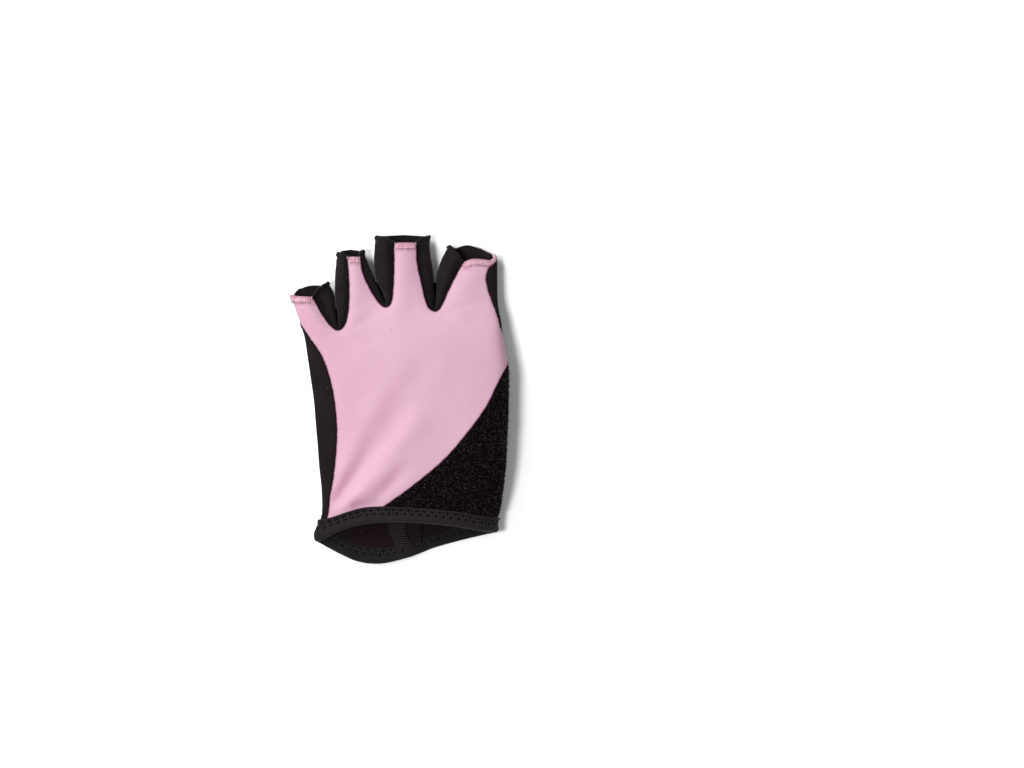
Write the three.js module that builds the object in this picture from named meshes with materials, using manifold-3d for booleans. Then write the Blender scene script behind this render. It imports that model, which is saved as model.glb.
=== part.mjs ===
import * as THREE from 'three';
import * as BufferGeometryUtils from 'three/addons/utils/BufferGeometryUtils.js';
import Module from 'manifold-3d';

// A left-hand short-finger cycling glove, lying palm down with its thumb folded flat under the palm.
// Millimetres. +X is the thumb side, +Y the fingertips, +Z up from the surface that it lies on.
//
// Every panel is cut flat, as cloth is: its outline lies in a pattern plane (v, y), where y is the
// glove's own Y and v runs round the glove across the hand. place() then bends that plane round the hand.

const wasm = await Module();
wasm.setup();

// Cloth and clearances
const jersey = 1.1;
const suede = 1.2;
const terry = 1.8;
const ribbon = 1.0;
const tape = 0.8;
const padThick = 2.0;
const padEdge = 0.9;
const padBevel = 4.5;
const padGap = 0.65;
const gap = 0.3;
const seamInset = 0.22;
const cuffGap = 0.5;
const bindingProud = 0.4;
const bindingInside = 2.2;

// How the palm lies: its suede clears the surface by the pads, and the thumb lies under it
const palmBase = padThick + padGap;
const cuffLift = 0.45;
const thumbClear = 0.6;
const thumbTaper = 0.4;
const edgeRadius = 2.5;
const foldWidest = 4;

// Middle of the glove's bounding box, which becomes the origin
const middleX = -0.31;
const middleY = -0.46;

// Pattern squares of a panel's mesh, and the dish that keeps their rows through the cut
const coarse = { across: 4.8, along: 6.2 };
const fine = { across: 4.3, along: 4.4 };
const dish = 0.003;

function table(names, rows) {
  return rows.map((row) => Object.fromEntries(names.map((name, i) => [name, row[i]])));
}

// Silhouette from above
const silhouette = table(
  ['y', 'left', 'right'],
  [
    [-76, -38.0, 42.8],
    [-62, -38.2, 43.0],
    [-57, -37.4, 43.4],
    [-52, -35.4, 44.4],
    [-42, -35.4, 46.2],
    [-30, -36.5, 47.5],
    [-14, -37.8, 48.3],
    [0, -39.1, 48.6],
    [13, -41.0, 48.6],
    [20, -42.0, 47.6],
    [28, -43.2, 46.2],
    [34, -45.4, 45.6],
    [40, -47.2, 44.4],
    [46, -49.2, 43.8],
    [52, -50.2, 43.8],
    [64, -50.4, 43.6],
    [76, -50.4, 42.0],
  ]
);

// Height of the back at three stations across, height of each rolled side, and how wide each roll is
const backStation = 0.75;
const rollLeftUnder = 4.2;
const heights = table(
  ['y', 'backLeft', 'backMiddle', 'backRight', 'sideLeft', 'sideRight', 'rollLeft', 'rollRight'],
  [
    [-76, 10.0, 16.0, 15.5, 5.7, 7.6, 8, 10],
    [-56, 10.5, 16.5, 16.5, 5.7, 8.0, 8, 10],
    [-30, 11.5, 18.5, 20.5, 5.9, 9.0, 8, 11],
    [0, 12.0, 20.5, 22.0, 6.0, 9.4, 8, 11],
    [18, 12.3, 20.3, 21.0, 6.0, 9.0, 8, 11],
    [36, 13.2, 18.0, 18.0, 6.2, 8.0, 7, 9],
    [46, 13.4, 17.0, 16.0, 6.4, 7.4, 6, 8],
    [62, 12.6, 15.5, 14.0, 6.4, 6.8, 6, 7],
    [76, 11.5, 14.5, 12.5, 6.0, 6.4, 6, 7],
  ]
);

// The folded thumb: X of its free fold edge, and its height off the surface there
const thumbFold = table(
  ['y', 'fold', 'height'],
  [
    [-76, 7.2, 5.0],
    [-61, 6.9, 5.0],
    [-41, 6.9, 5.6],
    [-25, 2.9, 7.2],
    [0, -4.5, 8.6],
    [21, -12.4, 9.0],
    [36, -16.8, 8.8],
  ]
);
const crotch = new THREE.Vector2(26, 13);
const thumbTip = new THREE.Vector2(8.6, 32.4);
const openingAtFold = new THREE.Vector2(-13, 24.3);
const openingAtPatch = new THREE.Vector2(7.2, 36);
const thumbSeamFoot = new THREE.Vector2(8, -54);

// Long folds in the back, as ridges and valleys along a route of three points
const folds = table(
  ['x0', 'y0', 'x1', 'y1', 'x2', 'y2', 'rise', 'width'],
  [
    [-30, -50, -10.8, -30.2, 3, -10, 1.3, 5.0],
    [-28, -42, -15, -10, 10, 24, -1.1, 5.5],
    [-20, -47, -8, -38, 5, -27, -0.8, 4.5],
  ]
);

// Crown of each finger: its axis from the knuckle to the tip
const crownRise = 1.5;
const crownWidth = 6.5;
const crownRun = 20;
const fingers = table(
  ['baseX', 'baseY', 'tipX', 'tipY'],
  [
    [-34, 20, -45, 48],
    [-22, 24, -21, 65],
    [-2, 26, 2.4, 71],
    [22, 24, 35.5, 64],
  ]
);

// Lower edge of the cuff, seen from above: on the back, on the palm, and the binding's width there
const cuff = table(
  ['x', 'back', 'palm', 'wide'],
  [
    [-38.5, -64.6, -64.6, 8.2],
    [-34.6, -64.0, -66.2, 8.2],
    [-27, -60.0, -69.8, 7.4],
    [-19, -57.3, -73.0, 6.8],
    [-9, -56.0, -74.2, 6.6],
    [3, -56.0, -72.2, 6.5],
    [15, -56.8, -67.8, 6.5],
    [27, -58.2, -64.4, 6.5],
    [36, -59.8, -62.3, 6.5],
    [43.5, -60.7, -60.7, 6.6],
  ]
);

// Notches between the fingers: the seam on the back, the seam on the palm, and how far the strip
// between them bulges, from one fingertip down to the notch and up to the next fingertip
const notchNames = ['topX', 'topY', 'underX', 'underY', 'bulge'];
const notchLittleRing = table(notchNames, [
  [-39.2, 45.6, -34.6, 50.6, 4.6],
  [-35.8, 39.2, -32.7, 46.4, 3.0],
  [-32.0, 33.6, -31.0, 42.2, 1.8],
  [-28.6, 30.6, -29.2, 40.2, 3.6],
  [-25.2, 32.2, -27.7, 42.0, 1.6],
  [-23.2, 39.5, -27.0, 48.4, 3.4],
  [-22.9, 51.0, -26.9, 57.4, 5.2],
  [-23.8, 63.5, -27.0, 66.2, 5.6],
]);
const notchRingMiddle = table(notchNames, [
  [-17.6, 63.5, -18.0, 66.2, 5.0],
  [-16.6, 56.4, -15.6, 60.2, 4.6],
  [-12.9, 48.2, -13.0, 54.6, 2.2],
  [-9.2, 42.6, -11.9, 52.0, 1.6],
  [-6.5, 40.9, -11.0, 51.2, 3.4],
  [-4.0, 42.8, -10.1, 52.4, 1.6],
  [-3.1, 49.0, -9.3, 56.6, 3.4],
  [-2.7, 59.0, -8.8, 64.0, 5.2],
  [-2.8, 69.8, -8.8, 72.9, 5.6],
]);
const notchMiddleIndex = table(notchNames, [
  [7.6, 69.8, 11.4, 72.9, 5.8],
  [7.9, 61.0, 12.2, 64.8, 5.4],
  [9.6, 52.6, 13.3, 57.4, 3.6],
  [12.2, 42.2, 15.0, 52.8, 1.6],
  [15.6, 39.1, 16.3, 51.8, 3.8],
  [18.6, 41.2, 17.7, 52.8, 1.6],
  [21.8, 48.2, 19.4, 56.6, 3.6],
  [25.4, 55.4, 22.3, 62.0, 5.2],
  [28.4, 60.9, 25.4, 67.6, 5.8],
]);
const fourchettes = {
  fourchette_little_ring: notchLittleRing,
  fourchette_ring_middle: notchRingMiddle,
  fourchette_middle_index: notchMiddleIndex,
};
const tuck = 1.0;
const fourchetteStations = 15;
const fourchetteSteps = 4;

function clamp01(value) {
  return Math.min(1, Math.max(0, value));
}

function ease(from, to, value) {
  const t = clamp01((value - from) / (to - from));
  return t * t * (3 - 2 * t);
}

// A column of a table as a smooth curve over its first column
function smooth(rows, key, name) {
  const at = rows.map((row) => row[key]);
  const values = rows.map((row) => row[name]);
  const last = rows.length - 1;
  const slopes = values.map((value, i) => {
    const low = Math.max(0, i - 1);
    const high = Math.min(last, i + 1);
    return (values[high] - values[low]) / (at[high] - at[low]);
  });
  return (x) => {
    const inside = Math.min(at[last], Math.max(at[0], x));
    let i = 0;
    while (i < last - 1 && inside > at[i + 1]) i += 1;
    const h = at[i + 1] - at[i];
    const t = (inside - at[i]) / h;
    const t2 = t * t;
    const t3 = t2 * t;
    return (
      values[i] * (2 * t3 - 3 * t2 + 1) +
      slopes[i] * h * (t3 - 2 * t2 + t) +
      values[i + 1] * (3 * t2 - 2 * t3) +
      slopes[i + 1] * h * (t3 - t2)
    );
  };
}

const leftAt = smooth(silhouette, 'y', 'left');
const rightAt = smooth(silhouette, 'y', 'right');
const heightAt = Object.fromEntries(
  Object.keys(heights[0]).map((name) => [name, smooth(heights, 'y', name)])
);
const foldAt = smooth(thumbFold, 'y', 'fold');
const thumbRiseAt = smooth(thumbFold, 'y', 'height');
const cuffBackAt = smooth(cuff, 'x', 'back');
const cuffPalmAt = smooth(cuff, 'x', 'palm');
const bindingWideAt = smooth(cuff, 'x', 'wide');

// Directions in the plan of the thumb: along its inner edge from the crotch, and out across that edge
const alongThumb = thumbTip.clone().sub(crotch).normalize();
const acrossThumb = new THREE.Vector2(alongThumb.y, -alongThumb.x);
const openingRun = openingAtPatch.clone().sub(openingAtFold).normalize();
const openingOut = new THREE.Vector2(-openingRun.y, openingRun.x);

function thumbPlan(along, across) {
  return crotch.clone().addScaledVector(alongThumb, along).addScaledVector(acrossThumb, across);
}

function pastThumbEdge(x, y) {
  return (x - crotch.x) * acrossThumb.x + (y - crotch.y) * acrossThumb.y;
}

function pastOpening(x, y) {
  return (x - openingAtFold.x) * openingOut.x + (y - openingAtFold.y) * openingOut.y;
}

// X where the thumb's inner layer ends: the seam with the palm below the crotch, its edge above it
function thumbEnd(y) {
  const foot = y < crotch.y ? thumbSeamFoot : thumbTip;
  return crotch.x + ((foot.x - crotch.x) * (y - crotch.y)) / (foot.y - crotch.y);
}

function thumbHeight(x, y) {
  const depth = thumbEnd(y) - foldAt(y);
  const across = clamp01((x - foldAt(y)) / depth);
  return thumbRiseAt(y) * (1 - thumbTaper * ease(4, 24, depth) * across * across);
}

function distanceToRoute(fold, x, y) {
  const corners = [
    [fold.x0, fold.y0],
    [fold.x1, fold.y1],
    [fold.x2, fold.y2],
  ];
  let nearest = Infinity;
  for (let i = 0; i < 2; i += 1) {
    const [ax, ay] = corners[i];
    const [bx, by] = corners[i + 1];
    const length = Math.hypot(bx - ax, by - ay);
    const t = clamp01(((x - ax) * (bx - ax) + (y - ay) * (by - ay)) / (length * length));
    nearest = Math.min(nearest, Math.hypot(x - ax - t * (bx - ax), y - ay - t * (by - ay)));
  }
  return nearest;
}

function foldsAt(x, y) {
  const parts = folds.map((fold) => fold.rise * Math.exp(-((distanceToRoute(fold, x, y) / fold.width) ** 2)));
  return parts.reduce((sum, part) => sum + part, 0);
}

function crownsAt(x, y) {
  const parts = fingers.map((finger) => {
    const along = (y - finger.baseY) / (finger.tipY - finger.baseY);
    const axis = finger.baseX + along * (finger.tipX - finger.baseX);
    const start = ease(finger.baseY, finger.baseY + crownRun, y);
    return crownRise * start * (Math.exp(-(((x - axis) / crownWidth) ** 2)) - 0.5);
  });
  return parts.reduce((sum, part) => sum + part, 0);
}

// Outer face of the back
function backHeight(x, y) {
  const left = leftAt(y);
  const right = rightAt(y);
  const across = (2 * x - left - right) / (right - left);
  const low = heightAt.backLeft(y);
  const middle = heightAt.backMiddle(y);
  const high = heightAt.backRight(y);
  const slope = (high - low) / (2 * backStation);
  const bend = (high + low - 2 * middle) / (2 * backStation * backStation);
  return middle + slope * across + bend * across * across + foldsAt(x, y) + crownsAt(x, y);
}

// Outer, lower face of the palm, which rises over the folded thumb
function palmHeight(x, y) {
  const fold = foldAt(y);
  const over =
    ease(fold - 21, fold - 1, x) *
    (1 - ease(2, 24, pastOpening(x, y))) *
    (1 - ease(1, 15, pastThumbEdge(x, y))) *
    ease(-65, -54, y);
  const seated = 1 - ease(8, 18, y);
  return palmBase * (1 - over * seated) + over * (thumbHeight(x, y) + thumbClear);
}

function quarter(wide, high) {
  return ((Math.PI / 2) * Math.hypot(wide, high)) / Math.SQRT2;
}

// One row of the pattern: where the flat stretches start, and how much cloth each roll takes
const sections = new Map();
function section(y) {
  if (sections.has(y)) return sections.get(y);
  const rollLeft = heightAt.rollLeft(y);
  const rollRight = heightAt.rollRight(y);
  const sideLeft = heightAt.sideLeft(y);
  const sideRight = heightAt.sideRight(y);
  const leftStart = leftAt(y) + rollLeft;
  const rightStart = rightAt(y) - rollRight;
  const floor = cuffLift * (1 - ease(-54, -46, y));
  const foldWide = Math.min(foldWidest, thumbRiseAt(y) / 2);
  const foldHigh = thumbHeight(foldAt(y) + foldWide, y);
  const found = {
    rollLeft,
    rollRight,
    sideLeft,
    sideRight,
    leftStart,
    rightStart,
    floor,
    foldHigh,
    foldWide,
    foldStart: foldAt(y) + foldWide,
    foldLength: 2 * quarter(foldWide, foldHigh / 2),
    leftOver: quarter(rollLeft, backHeight(leftStart, y) - sideLeft),
    palmStart: leftAt(y) + rollLeftUnder,
    leftUnder: quarter(rollLeftUnder, sideLeft - palmBase),
    rightOver: quarter(rollRight, backHeight(rightStart, y) - sideRight),
    rightUnder: quarter(rollRight, sideRight - floor),
  };
  sections.set(y, found);
  return found;
}

// Round the little-finger side, whose shoulder stays full, then along the palm
function placeLeft(s, run, y) {
  if (run < s.leftOver) {
    const turn = ((Math.PI / 2) * run) / s.leftOver;
    const depth = s.rollLeft * Math.sin(turn);
    const shoulder = backHeight(s.leftStart - depth + (depth * depth) / (2 * s.rollLeft), y);
    return [s.leftStart - depth, y, s.sideLeft + (shoulder - s.sideLeft) * Math.cos(turn)];
  }
  const under = run - s.leftOver;
  if (under < s.leftUnder) {
    const turn = ((Math.PI / 2) * under) / s.leftUnder;
    const x = s.palmStart - rollLeftUnder * Math.cos(turn);
    return [x, y, s.sideLeft - (s.sideLeft - palmHeight(x, y)) * Math.sin(turn)];
  }
  const x = s.palmStart + under - s.leftUnder;
  const beyond = Math.min(1, Math.max(0, x - s.rightStart) / s.rollRight);
  return [x, y, palmHeight(x, y) + s.sideRight * (1 - Math.sqrt(1 - beyond * beyond))];
}

// Round the thumb side, along the surface below, round the thumb's free fold and back over the thumb
function placeRight(s, run, y) {
  if (run < s.rightOver) {
    const turn = ((Math.PI / 2) * run) / s.rightOver;
    const x = s.rightStart + s.rollRight * Math.sin(turn);
    return [x, y, s.sideRight + (backHeight(x, y) - s.sideRight) * Math.cos(turn)];
  }
  const under = run - s.rightOver;
  if (under < s.rightUnder) {
    const turn = ((Math.PI / 2) * under) / s.rightUnder;
    const x = s.rightStart + s.rollRight * Math.cos(turn);
    return [x, y, s.sideRight - (s.sideRight - s.floor) * Math.sin(turn)];
  }
  const x = s.rightStart - (under - s.rightUnder);
  if (x > s.foldStart) return [x, y, s.floor];
  const curl = s.foldStart - x;
  if (curl < s.foldLength) {
    const turn = (Math.PI * curl) / s.foldLength;
    const rise = (s.foldHigh - s.floor) / 2;
    return [s.foldStart - s.foldWide * Math.sin(turn), y, s.floor + rise * (1 - Math.cos(turn))];
  }
  const inner = s.foldStart + curl - s.foldLength;
  return [inner, y, thumbHeight(inner, y)];
}

function place(v, y) {
  const s = section(y);
  if (v < s.leftStart) return placeLeft(s, s.leftStart - v, y);
  if (v > s.rightStart) return placeRight(s, v - s.rightStart, y);
  return [v, y, backHeight(v, y)];
}

// The patch's flap turns up round the thumb's inner edge and back over the thumb
const flapReady = 5;
function placePatch(v, y) {
  const [x, , z] = place(v, y);
  const beyond = pastThumbEdge(x, y) + edgeRadius;
  const along = (x - crotch.x) * alongThumb.x + (y - crotch.y) * alongThumb.y;
  if (z > cuffLift || x > crotch.x || beyond <= 0 || along <= 0) return [x, y, z];
  const roll = Math.PI * edgeRadius;
  const turn = Math.PI * Math.min(1, beyond / roll);
  const across = edgeRadius * (Math.sin(turn) - 1) - Math.max(0, beyond - roll);
  const folded = thumbPlan(along, across);
  const rise = (thumbHeight(folded.x, folded.y) / 2) * (1 - Math.cos(turn));
  const ready = ease(0, flapReady, along);
  return [x + (folded.x - x) * ready, y + (folded.y - y) * ready, z + rise * ready];
}

// Points of the pattern plane, named by where they lie on the glove as seen from above
function onBack(x, y) {
  const s = section(y);
  if (x < s.leftStart) {
    const turn = Math.asin(Math.min(1, (s.leftStart - x) / s.rollLeft));
    return new THREE.Vector2(s.leftStart - (s.leftOver * turn) / (Math.PI / 2), y);
  }
  if (x > s.rightStart) {
    const turn = Math.asin(Math.min(1, (x - s.rightStart) / s.rollRight));
    return new THREE.Vector2(s.rightStart + (s.rightOver * turn) / (Math.PI / 2), y);
  }
  return new THREE.Vector2(x, y);
}

function pastLeftEdge(over, y) {
  const s = section(y);
  return new THREE.Vector2(s.leftStart - s.leftOver - over, y);
}

function pastRightEdge(over, y) {
  const s = section(y);
  return new THREE.Vector2(s.rightStart + s.rightOver + over, y);
}

function onPalm(x, y) {
  const s = section(y);
  if (x < s.palmStart) {
    const turn = Math.acos(Math.min(1, (s.palmStart - x) / rollLeftUnder));
    return pastLeftEdge((s.leftUnder * turn) / (Math.PI / 2), y);
  }
  return pastLeftEdge(s.leftUnder + x - s.palmStart, y);
}

function onUnder(x, y) {
  const s = section(y);
  if (x > s.rightStart) {
    const turn = Math.acos(Math.min(1, (x - s.rightStart) / s.rollRight));
    return pastRightEdge((s.rightUnder * turn) / (Math.PI / 2), y);
  }
  return pastRightEdge(s.rightUnder + s.rightStart - x, y);
}

function onCurl(share, y) {
  const s = section(y);
  return onUnder(s.foldStart - share * s.foldLength, y);
}

function onInner(x, y) {
  const s = section(y);
  const point = onCurl(1, y);
  point.x += x - s.foldStart;
  return point;
}

function curve(points, spacing = 4) {
  const spline = new THREE.SplineCurve(points);
  return spline.getPoints(Math.max(2, Math.round(spline.getLength() / spacing)));
}

function reversed(points) {
  return points.slice().reverse();
}

function polyline(...points) {
  return points;
}

// Seams that two panels share
const seamLittle = curve([
  pastLeftEdge(3.0, 46.6),
  pastLeftEdge(2.8, 41),
  pastLeftEdge(1.8, 35.5),
  onBack(-42.6, 29.2),
  onBack(-36.9, 21.2),
  onBack(-32.6, 11.5),
  onBack(-29.9, 0),
  onBack(-28.6, -14.4),
  onBack(-29.6, -30),
  onBack(-32.0, -46),
  onBack(-33.3, -54.9),
], 2.4);
const seamTerry = curve([
  onBack(-7.8, -49.1),
  onBack(4, -41),
  onBack(19.8, -27.9),
  onBack(31.5, -14.4),
  onBack(39.2, -3.6),
  onBack(44.6, 7.2),
  onBack(47.9, 13.2),
  pastRightEdge(1.8, 17.5),
  pastRightEdge(5, 22),
]);
const seamIndex = curve([
  pastRightEdge(5, 22),
  pastRightEdge(2.2, 26),
  onBack(45.7, 30.5),
  onBack(44.2, 36.5),
  onBack(41.0, 45.2),
  onBack(39.1, 52.5),
  onBack(39.8, 58),
  onBack(42.4, 63.2),
]);
const seamArc = curve([
  pastRightEdge(5, 22),
  pastRightEdge(9, 13),
  onUnder(41.6, 5),
  onUnder(39, 0.2),
  onUnder(33.3, -1.2),
  onUnder(26.1, 0.9),
  onUnder(18.9, 6.3),
  onUnder(10.8, 16.2),
  onUnder(4.5, 23.4),
  onUnder(0.9, 31.8),
]);

// Edge of the palm where it laps over the patch, and the patch's own edge
const palmLap = 2.6;
const patchEdgePoints = [
  [26.7, 13.6],
  [28.8, 19],
  [32, 27],
  [35.2, 38],
  [37.8, 49.5],
  [38.6, 60],
  [39.4, 64.6],
];
const patchEdge = curve(patchEdgePoints.map(([x, y]) => onUnder(x, y)));
const palmOverPatch = curve(patchEdgePoints.slice(1).map(([x, y]) => onPalm(x + palmLap, y)));

function cuffLine(from, to, end, point) {
  const steps = Math.max(1, Math.round(Math.abs(to - from) / 4));
  const points = [];
  for (let i = 0; i <= steps; i += 1) {
    const x = from + ((to - from) * i) / steps;
    points.push(point(x, end(x) + bindingWideAt(x) + cuffGap));
  }
  return points;
}

function notchTop(rows, reach) {
  return curve(rows.map((row) => onBack(row[`${reach}X`], row[`${reach}Y`])), 3.2);
}

function notchUnder(rows) {
  return curve(rows.map((row) => onPalm(row.underX, row.underY)), 3.2);
}

// Moves each corner of a closed outline inward, so that neighbours keep their gap
function inset(points, distance) {
  const count = points.length;
  return points.map((point, i) => {
    const before = points[(i + count - 1) % count];
    const after = points[(i + 1) % count];
    const intoA = new THREE.Vector2(before.y - point.y, point.x - before.x).normalize();
    const intoB = new THREE.Vector2(point.y - after.y, after.x - point.x).normalize();
    const into = intoA.clone().add(intoB).normalize();
    const stretch = Math.min(2.5, 1 / Math.max(0.2, into.dot(intoA)));
    return point.clone().addScaledVector(into, distance * stretch);
  });
}

function closed(...pieces) {
  const points = [];
  for (const point of pieces.flat()) {
    const last = points[points.length - 1];
    if (!last || last.distanceTo(point) > 0.05) points.push(point);
  }
  if (points[0].distanceTo(points[points.length - 1]) < 0.05) points.pop();
  const outline = THREE.ShapeUtils.area(points) < 0 ? reversed(points) : points;
  return inset(outline, seamInset);
}

function toSolid(geometry) {
  geometry.deleteAttribute('normal');
  geometry.deleteAttribute('uv');
  const merged = BufferGeometryUtils.mergeVertices(geometry, 1e-5);
  return new wasm.Manifold(
    new wasm.Mesh({
      numProp: 3,
      vertProperties: new Float32Array(merged.attributes.position.array),
      triVerts: new Uint32Array(merged.index.array),
    })
  );
}

function dishAt(v, y) {
  return dish * (v * v + y * y);
}

// A flat slab of pattern squares over an outline's box, 1 mm thick, slightly dished
function slab(outline, square) {
  const box = new THREE.Box2().setFromPoints(outline);
  const column = Math.floor(box.min.x / square.across - 0.1);
  const row = Math.floor(box.min.y / square.along - 0.1);
  const across = Math.ceil(box.max.x / square.across + 0.1) - column;
  const along = Math.ceil(box.max.y / square.along + 0.1) - row;
  const wide = across * square.across;
  const long = along * square.along;
  const geometry = new THREE.BoxGeometry(wide, long, 1, across, along, 1);
  geometry.translate(column * square.across + wide / 2, row * square.along + long / 2, -0.5);
  const position = geometry.attributes.position;
  for (let i = 0; i < position.count; i += 1) {
    position.setZ(i, position.getZ(i) + dishAt(position.getX(i), position.getY(i)));
  }
  return toSolid(geometry);
}

function prism(outline) {
  const depth = 400;
  const geometry = new THREE.ExtrudeGeometry(new THREE.Shape(outline), { depth, bevelEnabled: false });
  geometry.translate(0, 0, -depth / 2);
  return toSolid(geometry);
}

const feeler = 0.15;
function outward(bend, v, y) {
  const a = new THREE.Vector3(...bend(v + feeler, y)).sub(new THREE.Vector3(...bend(v - feeler, y)));
  const b = new THREE.Vector3(...bend(v, y + feeler)).sub(new THREE.Vector3(...bend(v, y - feeler)));
  return a.cross(b).normalize();
}

// A panel: cut from the slab, then bent. low and high are its faces' distances out from the glove's surface
function panel(outline, square, low, high, bend) {
  const mesh = slab(outline, square).intersect(prism(outline)).getMesh();
  const positions = new Float32Array(mesh.vertProperties.length);
  for (let i = 0; i < mesh.vertProperties.length; i += 3) {
    const v = mesh.vertProperties[i];
    const y = mesh.vertProperties[i + 1];
    const outer = mesh.vertProperties[i + 2] - dishAt(v, y) > -0.5;
    const reach = outer ? high(v, y) : low;
    const at = new THREE.Vector3(...bend(v, y)).addScaledVector(outward(bend, v, y), reach);
    at.toArray(positions, i);
  }
  const geometry = new THREE.BufferGeometry();
  geometry.setAttribute('position', new THREE.BufferAttribute(positions, 3));
  geometry.setIndex(new THREE.BufferAttribute(new Uint32Array(mesh.triVerts), 1));
  return geometry;
}

function flush() {
  return 0;
}

// A closed body from a grid of outer points and a grid of inner points
function sheetBody(outer, inner, loop) {
  const rows = outer.length;
  const columns = outer[0].length;
  const positions = [...outer.flat(), ...inner.flat()].flatMap((point) => point.toArray());
  const faces = [];
  const quad = (a, b, c, d) => faces.push(a, b, c, a, c, d);
  const at = (i, j, side) => side * rows * columns + (i % rows) * columns + j;
  const steps = loop ? rows : rows - 1;
  for (let i = 0; i < steps; i += 1) {
    for (let j = 0; j < columns - 1; j += 1) {
      quad(at(i, j, 0), at(i + 1, j, 0), at(i + 1, j + 1, 0), at(i, j + 1, 0));
      quad(at(i, j, 1), at(i, j + 1, 1), at(i + 1, j + 1, 1), at(i + 1, j, 1));
    }
    quad(at(i, 0, 0), at(i, 0, 1), at(i + 1, 0, 1), at(i + 1, 0, 0));
    quad(at(i, columns - 1, 0), at(i + 1, columns - 1, 0), at(i + 1, columns - 1, 1), at(i, columns - 1, 1));
  }
  if (!loop) {
    for (let j = 0; j < columns - 1; j += 1) {
      quad(at(0, j, 0), at(0, j + 1, 0), at(0, j + 1, 1), at(0, j, 1));
      quad(at(steps, j, 0), at(steps, j, 1), at(steps, j + 1, 1), at(steps, j + 1, 0));
    }
  }
  const geometry = new THREE.BufferGeometry();
  geometry.setAttribute('position', new THREE.BufferAttribute(new Float32Array(positions), 3));
  geometry.setIndex(faces);
  return geometry;
}

// A strip between two fingers, from under the back's edge to inside the palm's edge
function fourchette(rows) {
  const top = new THREE.SplineCurve(rows.map((row) => new THREE.Vector2(row.topX, row.topY)));
  const under = new THREE.SplineCurve(rows.map((row) => new THREE.Vector2(row.underX, row.underY)));
  const bulge = smooth(rows.map((row, i) => ({ at: i / (rows.length - 1), bulge: row.bulge })), 'at', 'bulge');
  const point = (t, s) => {
    const at = clamp01(t);
    const a = top.getPoint(at);
    const b = under.getPoint(at);
    const outA = top.getTangent(at);
    const outB = under.getTangent(at);
    const p0 = new THREE.Vector3(a.x + outA.y * tuck, a.y - outA.x * tuck, backHeight(a.x, a.y) - jersey - gap);
    const p3 = new THREE.Vector3(b.x + outB.y * tuck, b.y - outB.x * tuck, palmHeight(b.x, b.y) + suede + gap);
    const reach = bulge(at);
    const p1 = p0.clone().add(new THREE.Vector3(-outA.y * reach, outA.x * reach, -2));
    const p2 = p3.clone().add(new THREE.Vector3(-outB.y * reach, outB.x * reach, 0.5));
    return new THREE.CubicBezierCurve3(p0, p1, p2, p3).getPoint(s);
  };
  const small = 0.01;
  const outer = [];
  const inner = [];
  for (let i = 0; i < fourchetteStations; i += 1) {
    const t = i / (fourchetteStations - 1);
    const low = Math.max(0, t - small);
    const high = Math.min(1, t + small);
    const outerRow = [];
    const innerRow = [];
    for (let j = 0; j <= fourchetteSteps; j += 1) {
      const s = j / fourchetteSteps;
      const alongStrip = point(high, s).sub(point(low, s));
      const acrossStrip = point(t, Math.min(1, s + small)).sub(point(t, Math.max(0, s - small)));
      const out = alongStrip.cross(acrossStrip).normalize();
      outerRow.push(point(t, s));
      innerRow.push(point(t, s).addScaledVector(out, -suede));
    }
    outer.push(outerRow);
    inner.push(innerRow);
  }
  return sheetBody(outer, inner, false);
}

// The cuff as a loop: over the back, round the thumb side, along the palm, round the little-finger side.
// inward runs from the cuff's lower edge, 0, to the binding's upper edge, 1
const cuffMiddleY = -60;
function cuffPoint(u, inward) {
  const side = Math.floor(u) % 4;
  const share = u - Math.floor(u);
  const turn = Math.PI * share;
  const spread = (s) => {
    const span = s.rightStart - s.leftStart;
    const right = s.rightStart + s.rollRight * Math.sin(turn);
    const left = s.leftStart - s.rollLeft * Math.sin(turn);
    return [s.leftStart + share * span, right, s.rightStart - share * span, left][side];
  };
  const guess = spread(section(cuffMiddleY));
  const above = side === 0 || (side === 1 && share < 0.5) || (side === 3 && share > 0.5);
  const end = above ? cuffBackAt(guess) : cuffPalmAt(guess);
  const y = end + inward * bindingWideAt(guess);
  const s = section(y);
  const x = spread(s);
  if (side === 0) return [x, y, backHeight(x, y)];
  if (side === 2) return [x, y, s.floor + (palmBase - s.floor) * ease(14, 2, x)];
  const start = side === 1 ? s.rightStart : s.leftStart;
  const middle = side === 1 ? s.sideRight : s.sideLeft;
  const low = side === 1 ? s.floor : palmBase;
  const rise = above ? backHeight(start, y) - middle : middle - low;
  return [x, y, middle + rise * Math.cos(turn) * (side === 1 ? 1 : -1)];
}

function cuffBinding() {
  const stations = [18, 9, 18, 8].flatMap((count, side) =>
    Array.from({ length: count }, (unused, i) => side + i / count)
  );
  const levels = [0, 0.5, 1];
  const small = 0.004;
  const outer = [];
  const inner = [];
  for (const u of stations) {
    const outerRow = [];
    const innerRow = [];
    for (const level of levels) {
      const at = new THREE.Vector3(...cuffPoint(u, level));
      const before = new THREE.Vector3(...cuffPoint((u + 4 - small) % 4, level));
      const after = new THREE.Vector3(...cuffPoint((u + small) % 4, level));
      const up = new THREE.Vector3(...cuffPoint(u, level + small)).sub(at);
      const out = after.sub(before).cross(up).normalize();
      outerRow.push(at.clone().addScaledVector(out, bindingProud));
      innerRow.push(at.clone().addScaledVector(out, -bindingInside));
    }
    outer.push(outerRow);
    inner.push(innerRow);
  }
  return sheetBody(outer, inner, true);
}

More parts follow.
